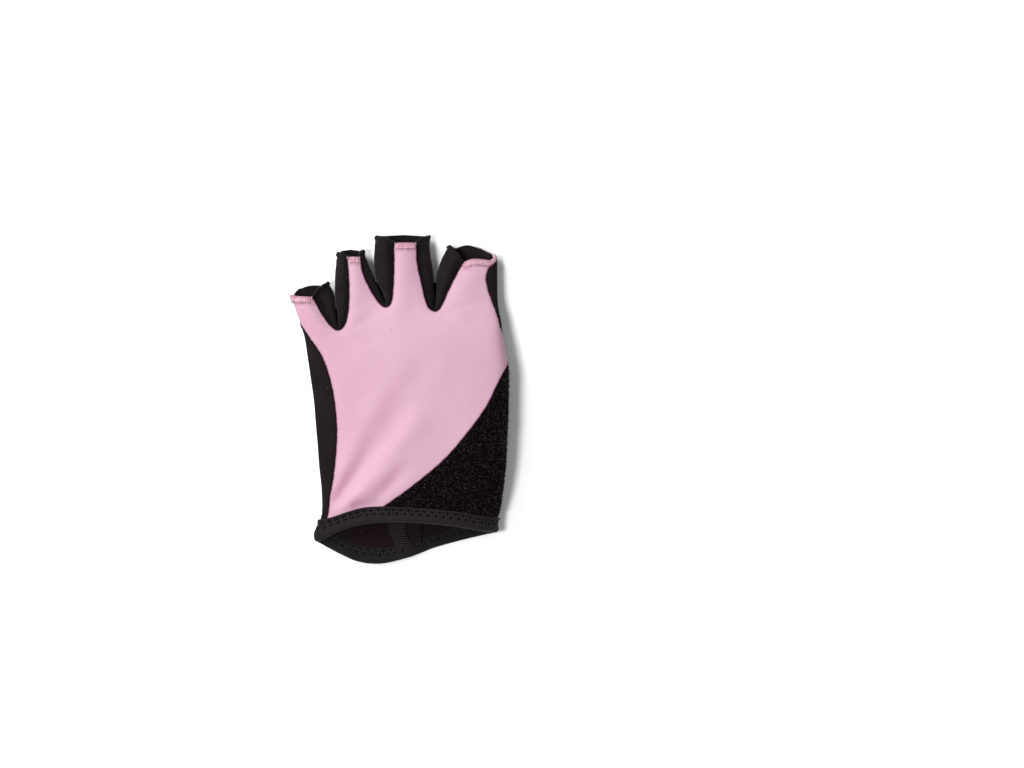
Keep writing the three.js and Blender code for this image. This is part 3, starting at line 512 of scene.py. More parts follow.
def inside(x, y, ring):
    hit = np.zeros(np.shape(x), bool)
    for (ax, ay), (bx, by) in zip(ring, np.roll(ring, -1, axis=0)):
        if ay != by:
            hit ^= ((ay > y) != (by > y)) & (x < (bx - ax) * (y - ay) / (by - ay) + ax)
    return hit


# Meshes

def lattice(low, stop, count, spacing, step):
    """Rows of points from a low corner, every other row moved by half a spacing."""
    rows = []
    for j in range(count):
        x = np.arange(low[0] + (j % 2) * spacing / 2, stop, spacing)
        rows.append(np.stack([x, np.full(len(x), low[1] + j * step)], -1))
    return np.concatenate(rows)


def fill(ring, spacing, bands=(0.14, 0.38, 0.8)):
    """Triangles over an outline: its own points, a few rows beside it, then an even field."""
    run = np.roll(ring, -1, axis=0) - np.roll(ring, 1, axis=0)
    inward = unit(np.stack([-run[:, 1], run[:, 0]], -1))
    groups = [ring]
    for band in bands:
        rows = ring + inward * band
        groups.append(rows[(distance(*rows.T, ring, True) > band * 0.9) & inside(*rows.T, ring)])
    low, high = ring.min(0), ring.max(0)
    step = spacing * math.sqrt(3) / 2
    field = lattice(low, high[0] + spacing, int((high[1] - low[1]) / step) + 2, spacing, step)
    field = field[inside(*field.T, ring)]
    groups.append(field[distance(*field.T, ring, True) > bands[-1] + spacing * 0.45])
    points = [Vector(p) for p in np.concatenate(groups)]
    out = delaunay_2d_cdt(points, [], [list(range(len(ring)))], 1, 1e-6)
    flat = np.array([(p.x, p.y) for p in out[0]])
    triangles = np.array([f for f in out[2] if len(f) == 3])
    a, b, c = (flat[triangles[:, k]] for k in range(3))
    turn = (b[:, 0] - a[:, 0]) * (c[:, 1] - a[:, 1]) - (b[:, 1] - a[:, 1]) * (c[:, 0] - a[:, 0])
    triangles[turn < 0] = triangles[turn < 0][:, ::-1]
    return flat, triangles[np.abs(turn) > 1e-7]


def grid_faces(rows, cols, joined_rows=False, joined_cols=True):
    """Quads between the neighbours of a grid of points, joined end to end where it says so."""
    i = np.arange(rows - (not joined_rows))[:, None]
    j = np.arange(cols - (not joined_cols))
    below, beyond = (i + 1) % rows * cols, (j + 1) % cols
    corners = [i * cols + j, i * cols + beyond, below + beyond, below + j]
    return np.stack(corners, -1).reshape(-1, 4)


def tube_faces(count, rings, sides):
    """Faces round many tubes with as many rings and sides each."""
    return (grid_faces(rings, sides) + np.arange(count)[:, None, None] * rings * sides).reshape(-1, 4)


def turned_over(faces):
    """The faces seen from their other side."""
    return np.roll(faces[:, ::-1], 1, axis=1)


def shell(top, bottom, faces):
    """A closed body between two sets of points that share their faces."""
    count = len(top)
    edges = list(zip(faces.ravel().tolist(), np.roll(faces, -1, axis=1).ravel().tolist()))
    known = set(edges)
    rim = [(a, a + count, b + count, b) for a, b in edges if (b, a) not in known]
    return np.concatenate([top, bottom]), [*faces, *(turned_over(faces) + count), *rim]


FEELER = 0.15


def outward(bend, v, y):
    across = bend(v + FEELER, y) - bend(v - FEELER, y)
    return unit(np.cross(across, bend(v, y + FEELER) - bend(v, y - FEELER)))


FLOOR_CLEAR = 0.02


def added(name, data):
    """An object in the scene."""
    thing = bpy.data.objects.new(name, data)
    bpy.context.scene.collection.objects.link(thing)
    return thing


def make_piece(name, points, faces, material, uv=None, fields=None, node=None):
    """A mesh object from points in millimetres, riding on the glove."""
    world = (np.asarray(points) - MIDDLE) * MM
    world[:, 2] = np.maximum(world[:, 2], FLOOR_CLEAR * MM)
    mesh = bpy.data.meshes.new(name)
    mesh.from_pydata(world.tolist(), [], [list(map(int, f)) for f in faces])
    mesh.polygons.foreach_set("use_smooth", [True] * len(mesh.polygons))
    if uv is not None:
        layer = mesh.uv_layers.new(name="cloth")
        loops = np.zeros(len(mesh.loops), int)
        mesh.loops.foreach_get("vertex_index", loops)
        layer.data.foreach_set("uv", (np.asarray(uv)[loops] * 0.01).ravel().astype(np.float32))
    for key, values in (fields or {}).items():
        attribute = mesh.attributes.new(key, "FLOAT", "POINT")
        attribute.data.foreach_set("value", np.asarray(values, np.float32))
    mesh.materials.append(material)
    mesh.validate()
    thing = added(name, mesh)
    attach(thing, "root")
    if node:
        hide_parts(node)
    return thing


def cloth(name, ring, spacing, bend, low, high, material, node, soft=None, fields=None):
    """A panel of real thickness with a rounded edge. low and high give the faces' heights off the glove."""
    flat, triangles = fill(ring, spacing)
    v, y = flat.T
    lower, upper = low(v, y), high(v, y)
    half = (upper - lower) / 2 - 0.05
    near = 1 - np.clip(distance(v, y, ring, True) / (soft or half), 0, 1)
    dip = half * (1 - np.sqrt(np.clip(1 - near * near, 0, 1)))
    base, normal = bend(v, y), outward(bend, v, y)
    points, faces = shell(base + normal * (upper - dip)[:, None],
                          base + normal * (lower + dip)[:, None], triangles)
    both = {key: np.concatenate([field(v, y, outer) for outer in (True, False)])
            for key, field in (fields or {}).items()}
    return make_piece(name, points, faces, material, np.concatenate([flat, flat]), both, node)


def constant(value):
    return lambda v, y, *_: np.full(np.shape(v), float(value))


def faces_apart(outer_value, inner_value):
    """A field with one value on a panel's outer face and another on its inner face."""
    return lambda v, y, outer: np.full(len(v), float(outer_value if outer else inner_value))


# Materials

LIGHT = 1.8
WHITE = (1.0, 1.0, 1.0, 1.0)


def seen(*screen):
    """The cloth's colour that shows as this screen colour, 0 to 255, under the scene's light."""
    c = np.array(screen) / 255
    return (*(np.where(c <= 0.04045, c / 12.92, ((c + 0.055) / 1.055) ** 2.4) / LIGHT).tolist(), 1.0)


def shades(*stops):
    """A ramp's stops, from places and the screen colours there."""
    return [(at, seen(*colour)) for at, *colour in stops]


def greys(*stops):
    """A ramp's stops, from places and how light the grey is there."""
    return [(at, (value, value, value, 1.0)) for at, value in stops]


class Nodes:
    """Short hand for one material's nodes."""

    def __init__(self, name, roughness, sheen=0.0, sheen_roughness=0.5, specular=0.3, tint=None):
        self.material = bpy.data.materials.new(name)
        self.material.use_nodes = True
        self.tree = self.material.node_tree
        self.shader = self.tree.nodes["Principled BSDF"]
        for key, value in {"Roughness": roughness, "Sheen Weight": sheen, "Sheen Roughness": sheen_roughness,
                           "Specular IOR Level": specular}.items():
            self.give(self.shader.inputs[key], value)
        if tint:
            self.give(self.shader.inputs["Sheen Tint"], seen(*tint))
        self.at = self.add("TexCoord").outputs["Object"]

    def give(self, socket, value):
        if isinstance(value, (tuple, float, int)):
            socket.default_value = value
        else:
            self.tree.links.new(value, socket)

    def add(self, kind, **settings):
        """A new node. Its inputs take a value, or the output of another node."""
        node = self.tree.nodes.new("ShaderNode" + kind)
        for key, value in settings.items():
            if key in node.inputs:
                self.give(node.inputs[key], value)
            else:
                setattr(node, key, value)
        return node

    def cloth_space(self, scale=(1, 1, 1)):
        at = self.add("UVMap", uv_map="cloth").outputs[0]
        return self.add("Mapping", Vector=at, Scale=scale).outputs[0]

    def noise(self, scale, detail=3.0, roughness=0.55, at=None):
        return self.add("TexNoise", Vector=at or self.at, Scale=scale, Detail=detail,
                        Roughness=roughness).outputs["Fac"]

    def cells(self, scale):
        return self.add("TexVoronoi", Vector=self.at, Scale=scale).outputs["Distance"]

    def ribs(self, scale, direction, distortion):
        return self.add("TexWave", Vector=self.cloth_space(), Scale=scale, Distortion=distortion, Detail=1.0,
                        wave_type="BANDS", bands_direction=direction).outputs["Fac"]

    def attribute(self, name):
        return self.add("Attribute", attribute_name=name).outputs["Fac"]

    def maths(self, operation, a, b):
        node = self.add("Math", operation=operation)
        for socket, value in zip(node.inputs, (a, b)):
            self.give(socket, value)
        return node.outputs[0]

    def times(self, a, b):
        return self.maths("MULTIPLY", a, b)

    def sum(self, *terms):
        """Values added up, each with its weight."""
        total, *others = (self.times(*term) for term in terms)
        for other in others:
            total = self.maths("ADD", total, other)
        return total

    def ramp(self, value, stops):
        node = self.add("ValToRGB", Fac=value)
        elements = node.color_ramp.elements
        while len(elements) < len(stops):
            elements.new(0.5)
        for element, (position, colour) in zip(elements, stops):
            element.position = position
            element.color = colour
        return node.outputs["Color"]

    def mix(self, share, a, b, blend="MIX"):
        node = self.add("Mix", data_type="RGBA", blend_type=blend)
        for k, value in zip((0, 6, 7), (share, a, b)):
            self.give(node.inputs[k], value)
        return node.outputs[2]

    def done(self, colour, height, strength, distance):
        """The material, with this colour and this relief."""
        bump = self.add("Bump", Height=height, Strength=strength, Distance=distance)
        self.give(self.shader.inputs["Base Color"], colour)
        self.give(self.shader.inputs["Normal"], bump.outputs[0])
        return self.material


def jersey_material():
    m = Nodes("pink_jersey", 0.85, 0.06, 0.4, 0.12, (250, 222, 236))
    fine, hem = m.noise(1700, 2.0, 0.7), m.attribute("hem")
    streaks = m.noise(1.0, 3.0, 0.6, m.cloth_space((260, 34, 1)))
    base = m.ramp(m.noise(32), shades((0.35, 232, 185, 207), (0.65, 237, 191, 213)))
    speck = m.ramp(m.sum((fine, 0.6), (streaks, 0.4)), greys((0.3, 0.955), (0.75, 1.0)))
    # Painted light and shade from the fold field: darker on fold flanks that face away from the lamps,
    # lighter on those that face them.
    painted_fold_light = m.ramp(m.attribute("fold"), [
        (0.0, (0.93, 0.83, 0.87, 1)), (0.5, (0.94, 0.93, 0.935, 1)), (1.0, WHITE)])
    # The hems: a mottled band, darker and redder than the back, partly the folded knit's own look and partly
    # painted shade where the cloth folds over.
    hem_mottle_and_shade = m.ramp(m.noise(950, 3.0, 0.75), shades((0.36, 192, 122, 144), (0.62, 246, 204, 217)))
    lint = m.ramp(m.cells(48), [(0.010, (0.45, 0.36, 0.40, 1)), (0.016, WHITE)])
    base = m.mix(1.0, m.mix(1.0, base, speck, "MULTIPLY"), painted_fold_light, "MULTIPLY")
    base = m.mix(m.times(hem, 0.92), base, hem_mottle_and_shade)
    # Painted shade: a darker magenta band along the back's seams, where its rounded edge turns away from the
    # light.
    base = m.mix(m.times(m.attribute("rim"), 0.8), base, seen(150, 78, 112))
    base = m.mix(m.attribute("lining"), base, seen(196, 140, 166))
    height = m.sum((fine, 0.8), (m.ribs(54.0, "X", 0.35), 0.5), (m.noise(620, 2.0, 0.6), m.times(hem, 7.0)))
    return m.done(m.mix(1.0, base, lint, "MULTIPLY"), height, 0.3, 0.00014)


def suede_material(name, dark, light):
    m = Nodes(name, 0.95, 0.03, 0.55, 0.06, (214, 200, 196))
    nap = m.noise(2300, 3.0, 0.75)
    base = m.ramp(m.sum((m.noise(70, 4.0, 0.6), 0.4), (nap, 0.6)), shades((0.32, *dark), (0.68, *light)))
    base = m.mix(m.attribute("inside"), base, m.ramp(nap, shades((0.3, 16, 12, 14), (0.7, 40, 33, 37))))
    base = m.mix(m.attribute("lining"), base, m.ramp(nap, shades((0.3, 15, 7, 8), (0.7, 41, 26, 27))))
    lint = m.ramp(m.cells(210), greys((0.035, 0.55), (0.06, 0.0)))
    base = m.mix(1.0, base, m.mix(1.0, lint, seen(120, 108, 100), "MULTIPLY"), "ADD")
    return m.done(base, nap, 0.5, 0.00018)


def terry_material(name, *stops):
    m = Nodes(name, 0.97, 0.04, 0.6, 0.03, (200, 186, 176))
    grain = m.noise(2600, 3.0, 0.8)
    tone = m.sum((m.attribute("tone"), 1.0), (m.maths("SUBTRACT", grain, 0.5), 0.5))
    return m.done(m.ramp(tone, shades(*stops)), grain, 0.7, 0.0003)


def knit_material(name, dark, light, scale, direction, strength, sheen, contrast=0.3, gloss=0.08):
    m = Nodes(name, 0.95 - 1.2 * gloss, sheen, 0.45, gloss)
    rib, grain = m.ribs(scale, direction, 0.4), m.noise(1900, 3.0, 0.7)
    shade = m.sum((rib, contrast), (grain, 0.7 - contrast), (m.noise(110), 0.3))
    # Painted shade: where the pit field is high, the knit is painted near black.
    base = m.mix(m.attribute("painted_pit_shade"), m.ramp(shade, shades((0.3, *dark), (0.7, *light))), seen(3, 1, 2))
    return m.done(base, m.sum((rib, 1.0), (grain, 0.7)), strength, 0.00014)


def thread_material(name, dark, light, specular):
    m = Nodes(name, 0.6, 0.05, 0.3, specular)
    twist = m.noise(3200, 2.0, 0.6)
    return m.done(m.ramp(twist, shades((0.35, *dark), (0.7, *light))), twist, 0.5, 0.00008)


def floor_material():
    m = Nodes("paper", 0.9, specular=0.1)
    return m.done(m.ramp(m.noise(3.0), greys((0.3, 0.92), (0.7, 0.94))), m.noise(900, 2.0), 0.05, 0.0001)


pink = jersey_material()
palm_suede = suede_material("black_suede", (22, 16, 16), (40, 32, 32))
pad_suede = suede_material("pad_suede", (25, 19, 19), (43, 35, 34))
terry_ground = terry_material("terry_ground", (0.2, 3, 1, 1), (0.6, 9, 5, 5), (1.0, 40, 32, 35))
# The light top of this ramp also serves the painted glints of a few loops.
terry_loops = terry_material("terry_loops", (0.0, 4, 2, 2), (0.45, 35, 26, 28), (0.85, 71, 63, 66),
                             (1.0, 100, 90, 93))
stretch = knit_material("stretch_knit", (8, 4, 5), (46, 37, 38), 60, "X", 0.2, 0.05, 0.02)
elastic = knit_material("elastic_binding", (10, 6, 8), (45, 38, 42), 75, "Y", 0.45, 0.04, 0.3, 0.13)
ribbed = knit_material("ribbed_tape", (2, 1, 1), (54, 48, 49), 33, "Y", 1.0, 0.02, 0.66)
dotted = knit_material("tab_knit", (16, 12, 12), (42, 36, 36), 80, "Y", 0.5, 0.03)
seam_thread = thread_material("seam_thread", (7, 3, 5), (24, 16, 20), 0.1)
# The cover-stitch thread is made lighter than the black elastic: a painted glint along the threads.
binding_zig_glint = thread_material("binding_zig_glint", (34, 29, 32), (68, 62, 68), 0.22)
black_thread = thread_material("black_thread", (16, 12, 13), (50, 44, 46), 0.25)
binding_thread = thread_material("binding_thread", (14, 10, 12), (36, 31, 34), 0.12)
pink_thread = thread_material("pink_thread", (128, 64, 92), (168, 104, 132), 0.1)
pink_loops = thread_material("pink_loops", (214, 150, 172), (246, 204, 218), 0.1)


# The small unevenness of sewn cloth

def waves(x, y, size, shift=0.0):
    a = np.sin(x / size * 1.7 + 1.3 * np.sin(y / size * 0.9 + shift) + shift)
    b = np.sin(y / size * 1.45 + 1.1 * np.sin(x / size * 1.1 - shift * 1.7) + shift * 2.3)
    c = np.sin((x + y) / size * 0.77 + shift * 0.6)
    return (a * b + 0.5 * c) / 1.5


def pucker(v, y, line, pitch, reach, depth):
    """Small gathers beside a seam."""
    d, along = nearest(v, y, line)
    return depth * np.sin(2 * math.pi * along / pitch + 0.8 * np.sin(along * 0.31)) * bell(d, reach)


def above_binding(v, y):
    """How far pattern points lie above the binding's upper edge."""
    x, _, z = np.moveaxis(place(v, y), -1, 0)
    s = Section(y)
    edge = np.where(z > np.minimum(s.side_left, s.side_right), cuff_back_at(x), cuff_palm_at(x))
    return y - (edge + binding_wide_at(x))


def calm(v, y, relief):
    """Relief that dies out towards the binding, and slips under it."""
    above = above_binding(v, y)
    return relief * ease(0.3, 3.5, above) - 0.62 * (1 - ease(-0.2, 4.2, above))


def scallop(line, pitch=1.9, depth=0.06):
    """The small waves that stitching leaves in a seam."""
    runs = runs_of(line)
    fade = np.minimum(ease(0, 2, runs), ease(0, 2, runs[-1] - runs))
    wave = np.sin(2 * math.pi * runs / pitch + 1.6 * np.sin(runs * 0.37)) + np.sin(runs * 1.13)
    return beside(line, (depth * wave * fade)[:, None])


# The back and its hems

HEM_WIDE, HEM_RISE = 3.3, 0.75
EDGE_DROP, EDGE_REACH = 0.42, 2.3
LITTLE_CORNER = past_left(3.0, 46.6)
HEM_LITTLE = spline([on_back(-39.2, 45.6), on_back(-45, 45.7), LITTLE_CORNER])
HEM_RING = dense(mapped(on_back, [(-17.6, 63.5), (-23.8, 63.5)]))
HEM_MIDDLE = dense(mapped(on_back, [(7.6, 69.8), (-2.8, 69.8)]))
HEM_INDEX = spline(mapped(on_back, [
    (43.4, 62.3), (43.3, 63.7), (42.7, 64.5), (42.1, 64.1), (42.3, 63.2), (41.6, 62.4), (40.1, 62.0),
    (37.8, 62.3), (32.4, 62.5), (28.4, 60.9)]), 0.35)
HEMS = [HEM_LITTLE, HEM_RING, HEM_MIDDLE, HEM_INDEX]
HEM_CORNERS = [LITTLE_CORNER] + mapped(on_back, [
    (-39.2, 45.6), (-17.6, 63.5), (-23.8, 63.5), (7.6, 69.8), (-2.8, 69.8), (28.4, 60.9)])

# Small creases that the solid leaves out: a route in plan, rise and width
CREASES = [
    ([(-10, -47.5), (-2, -42), (6, -35)], 0.3, 2.2),
    ([(-20.7, 32), (-15, 35), (-10.8, 39)], -0.3, 2.0),
    ([(-23, 35), (-18, 38), (-14, 41)], 0.2, 2.0),
    ([(-24, 27), (-14, 26), (-4, 29)], -0.3, 2.8),
    ([(20.5, 38.4), (26, 40.4), (32.4, 41)], -0.6, 1.8),
    ([(19, 35.5), (26, 36.5), (36, 36.5)], 0.4, 2.2),
    ([(-42, 36), (-37, 33), (-31, 30)], 0.2, 1.9),
    ([(24, 42), (29, 50), (34, 57)], 0.25, 3.4),
]


def least_distance(v, y, lines):
    return np.min([distance(v, y, line) for line in lines], axis=0)


def in_hem(v, y, before, after):
    """1 in the hems, and 0 from a little past their inner edge."""
    return 1 - ease(HEM_WIDE - before, HEM_WIDE + after, least_distance(v, y, HEMS))


def back_relief(v, y):
    total = 0.10 * waves(v, y, 9.0, 0.4) + 0.04 * waves(v, y, 3.4, 1.9)
    for route, rise, width in CREASES:
        d, share = along_route(route, v, y)
        total = total + rise * bell(d, width) * np.sin(np.clip(share, 0.04, 0.96) * math.pi) ** 0.6
    for line in (SEAM_TERRY, SEAM_LITTLE, SEAM_INDEX, *NOTCH_TOP):
        total = total + pucker(v, y, line, 2.6, 1.6, 0.10)
    total = total - EDGE_DROP * bell(least_distance(v, y, [SEAM_LITTLE, *NOTCH_TOP]), EDGE_REACH)
    dome = 1 - ((least_distance(v, y, HEMS) - HEM_WIDE / 2) / (HEM_WIDE / 2 + 0.3)) ** 2
    return calm(v, y, total + HEM_RISE * np.clip(dome, 0, 1) ** 0.6)


def eased(ring, corners, reach=1.3, passes=14):
    """The outline with its corners rounded."""
    for _ in range(passes):
        middle = (np.roll(ring, 1, axis=0) + np.roll(ring, -1, axis=0)) / 2
        near = np.min([np.linalg.norm(ring - corner, axis=1) for corner in corners], axis=0)
        ring = ring + (middle - ring) * (0.6 * bell(near, reach))[:, None]
    return ring


BACK_RING = eased(closed(
    scallop(SEAM_LITTLE), cuff_line(-31.5, -9.4, cuff_back_at, on_back), scallop(SEAM_TERRY),
    scallop(SEAM_INDEX), scallop(HEM_INDEX, 1.5, 0.07), *[scallop(line[::-1]) for line in NOTCH_TOP[::-1]],
    scallop(HEM_LITTLE, 1.5, 0.07)), HEM_CORNERS)


# Painted shade along the back's seams: how strongly the darker band is painted, on the outer face only and
# not at the hems.
def painted_seam_shade_of_back(v, y, outer):
    rim = (1 - ease(0.05, 0.75, distance(v, y, BACK_RING, True))) * ease(0.5, 1.6, least_distance(v, y, HEMS))
    return rim if outer else rim * 0


def painted_fold_shade_of_back(v, y, outer):
    """Painted light and shade on the back, 0.5 where none is painted: lower on fold flanks that face away
    from the lamps and towards the little-finger side, higher on flanks that face them, towards the thumb side
    and over the knuckles.
    """
    slope = folds_in(v, y, True)
    # Painted light across the back: lighter towards the thumb side and over the knuckles, darker towards the
    # little-finger side.
    painted_light_across = 0.36 * ease(8, 40, v) + 0.32 * ease(24, 40, y) * ease(-34, -24, v) - 0.2 * (1 - ease(-40, -10, v))
    return np.clip(0.5 + np.where(slope < 0, slope, slope * 1.5) + painted_light_across, 0, 1)


# Fields of the back: the hem band, painted seam shade (rim), painted fold light and shade (fold), and the
# inner face (lining).
cloth("back_jersey", BACK_RING, 0.85, place, lambda v, y: -JERSEY - 0.35 * in_hem(v, y, 0.45, 0.1) - 0.1,
      back_relief, pink, "back_panel", 0.95,
      {"hem": lambda v, y, outer: in_hem(v, y, 0.5, 0.3), "rim": painted_seam_shade_of_back, "fold": painted_fold_shade_of_back,
       "lining": faces_apart(0, 1)})


# The palm

INNER_PATCH = spline(mapped(on_palm, [
    (-27, -52), (-24.8, -59), (-23.4, -63.6), (-18.5, -66.8), (-9, -67.4), (-2, -65.9), (3, -61), (4, -52)]))
INNER_PATCH_RING = np.concatenate([INNER_PATCH, mapped(on_palm, [(4, -20), (-31, -20)])])


def inner_patch(v, y):
    """1 on the part of the palm's inner face that a second layer covers, near the cuff."""
    covered = np.where(inside(v, y, INNER_PATCH_RING), ease(0, 0.6, distance(v, y, INNER_PATCH)), 0)
    return covered * (1 - ease(-38, -30, y))


def palm_relief(v, y):
    total = 0.08 * waves(v, y, 8.0, 2.1) + 0.04 * waves(v, y, 3.1, 0.2)
    for line in (SEAM_LITTLE, *NOTCH_UNDER):
        total = total + pucker(v, y, line, 3.0, 1.8, 0.08)
    return calm(v, y, total)


def palm_outline():
    steps = np.array([-50, -40, -30, -20, -10, 0, 8, 12.6])
    little, ring, middle = (line[::-1] for line in NOTCH_UNDER)
    return closed(
        SEAM_LITTLE, on_back(-36.5, -57.3), past_left(0, -58.2), cuff_line(-35, 8.6, cuff_palm_at, on_palm),
        mapped(on_palm, [(8.8, -60), (8.8, -56)]), on_palm(thumb_end(steps) + 1.2, steps), PALM_OVER_PATCH,
        spline(mapped(on_palm, [(36, 67.3), (30, 68.9), (25.4, 67.6)])), middle, on_palm(1.3, 73.5), ring,
        on_palm(-22.4, 66.9), little,
        spline(mapped(on_palm, [(-34.6, 50.6), (-41, 50.6), (-46.5, 48.6)]) + [LITTLE_CORNER]))


PALM_RING = palm_outline()
cloth("palm_suede", PALM_RING, 1.25, place, lambda v, y: -SUEDE - 0.45 * inner_patch(v, y), palm_relief,
      palm_suede, "palm_panel",
      fields={"lining": lambda v, y, outer: inner_patch(v, y) * (not outer), "inside": faces_apart(0, 1)})


# The thumb and its patch

LOOP_HEIGHT = 0.5
PILE_TURN = math.radians(-42)
YARN_RINGS, YARN_SIDES = 5, 3
PILE_LEVEL = 4.2


def terry_relief(v, y):
    return calm(v, y, 0.10 * waves(v, y, 7.0, 3.0)) - LOOP_HEIGHT


def opening(point, shares):
    """Places along the edge of the thumb's opening, between the fold and the patch."""
    return [point(*(OPENING_AT_FOLD + (OPENING_AT_PATCH - OPENING_AT_FOLD) * share)) for share in shares]


THUMB_RING = closed(
    cuff_line(-9, 41, cuff_back_at, on_back), past_right(0, -56.6),
    cuff_line(40.6, 7.6, cuff_palm_at, on_under), on_under(7.4, -60), on_under(7.3, -54.5),
    on_curl(0.35, -50), on_curl(1, -44.5),
    [on_inner(thumb_end(y), y) for y in (-38, -30, -20, -10, 0, 8)],
    mapped(on_inner, thumb_plan([1, 6.3, 11.2, 20], [-1.2, -2.4, -6, -6])),
    opening(on_inner, (0.68, 0.5, 0.25)),
    on_curl(0.5, OPENING_AT_FOLD[1]), opening(on_under, (0.25, 0.5)), SEAM_ARC[::-1], SEAM_TERRY[::-1])


def pile(name, spacing, low, high, seed):
    """Terry loops: short bent yarns that stand on the panel between two levels, row by row."""
    rng = np.random.RandomState(seed)
    middle = (THUMB_RING.min(0) + THUMB_RING.max(0)) / 2
    reach = np.linalg.norm(THUMB_RING - middle, axis=1).max()
    step = spacing * 1.2
    at = lattice((-reach, -reach), reach, int(2 * reach / step) + 1, spacing, step)
    cosine, sine = math.cos(PILE_TURN), math.sin(PILE_TURN)
    at = at @ np.array([[cosine, sine], [-sine, cosine]]) + middle
    at = at + rng.uniform(-0.15, 0.15, at.shape) * spacing
    at = at[inside(*at.T, THUMB_RING)]
    at = at[(distance(*at.T, THUMB_RING, True) > 0.35) & (above_binding(*at.T) > 0.5)]
    s = Section(at[:, 1])
    curl = s.fold_start - (s.right_start - (at[:, 0] - s.right_start - s.right_over - s.right_under))
    level = place(*at.T)[:, 2]
    v, y = at[(curl < 0.7 * s.fold_length) & (low <= level) & (level < high)].T
    count = len(v)
    n = outward(place, v, y)
    base = place(v, y) + n * (terry_relief(v, y) - 0.1)[:, None]
    along = unit(place(v, y + FEELER) - place(v, y - FEELER))
    across = np.cross(along, n)
    turn = PILE_TURN + rng.normal(0, 0.4, count)[:, None]
    run = across * np.cos(turn) + along * np.sin(turn)
    lean = (across * rng.normal(0, 0.32, (count, 1)) + along * rng.normal(-0.1, 0.32, (count, 1))) + n
    reach = rng.uniform(0.2, 0.3, (count, 1))
    height = rng.uniform(0.5, 0.8, (count, 1)) + 0.6 * rng.uniform(0, 1, (count, 1)) ** 5
    thick = rng.uniform(0.13, 0.18, (count, 1))
    side = np.cross(run, n)
    grid = np.zeros((count, YARN_RINGS, YARN_SIDES, 3))
    for i, bend in enumerate(np.linspace(0, math.pi, YARN_RINGS)):
        centre = base + run * reach * math.cos(bend) + lean * height * math.sin(bend)
        outer = run * math.cos(bend) + n * math.sin(bend)
        for k in range(YARN_SIDES):
            a = 2 * math.pi * k / YARN_SIDES + 0.5
            grid[:, i, k] = centre + (outer * math.cos(a) + side * math.sin(a)) * thick
    # Tone differs from loop to loop at random; one loop in five hundred is made far lighter, a painted glint.
    tone = 0.1 + 0.82 * rng.uniform(0, 1, count) + 0.5 * (rng.uniform(0, 1, count) > 0.998)
    make_piece(name, grid.reshape(-1, 3), tube_faces(count, YARN_RINGS, YARN_SIDES), terry_loops,
               fields={"tone": np.repeat(tone, YARN_RINGS * YARN_SIDES)})


cloth("thumb_terry", THUMB_RING, 1.2, place, constant(-TERRY), terry_relief, terry_ground,
      "thumb_panel", fields={"tone": faces_apart(0.3, 0.85)})
pile("terry_loops_back", 0.76, PILE_LEVEL, math.inf, 11)
pile("terry_loops_under", 0.95, -1, PILE_LEVEL, 12)

PATCH_RING = closed(
    SEAM_ARC, mapped(on_under, [(7.2, 35.4), (14.4, 37.6), (19.4, 32.4), (24.4, 26.8), (25.5, 14.6)]),
    PATCH_EDGE, past_right(4, 64.4), past_right(0, 64.2), SEAM_INDEX[::-1])
cloth("thumb_patch_suede", PATCH_RING, 1.2, place_patch, constant(-SUEDE),
      lambda v, y: 0.05 * waves(v, y, 6.0, 1.0), palm_suede, "thumb_patch")


# Strips between the fingers

TUCK = 1.0


def strip(rows, stations=210, steps=18):
    """Outer face of a strip: from under the back's edge, out to the tube's side, to the palm's edge."""
    share = np.linspace(0, 1, stations)

    def even(points):
        fine = spline(points, 0.05)
        runs = runs_of(fine)
        knots = [int(np.argmin(np.linalg.norm(fine - p, axis=1))) for p in points]
        return sample(np.interp(share * (len(points) - 1), np.arange(len(points)), runs[knots]), runs, fine)

    rows = np.array(rows, float)
    top, under, reach = (even(rows[:, k:k + 2]) for k in (0, 2, 4))
    middle = (reach - (top + under) / 8) / 0.75
    high, low = back_height(*top.T), palm_height(*under.T)
    lift = 0.25 * (1 - ease(0, 14, np.minimum(share, 1 - share) * (stations - 1)))
    p0, p1, p2, p3 = (np.column_stack(pair)[:, None, :] for pair in (
        (beside(top, -TUCK), high - JERSEY - 0.2), (middle, high + 0.1 + lift), (middle, low + 1.2),
        (beside(under, -TUCK), low + SUEDE + 0.12)))
    s = np.linspace(0, 1, steps + 1)[None, :, None]
    return p0 * (1 - s) ** 3 + 3 * p1 * s * (1 - s) ** 2 + 3 * p2 * s * s * (1 - s) + p3 * s ** 3


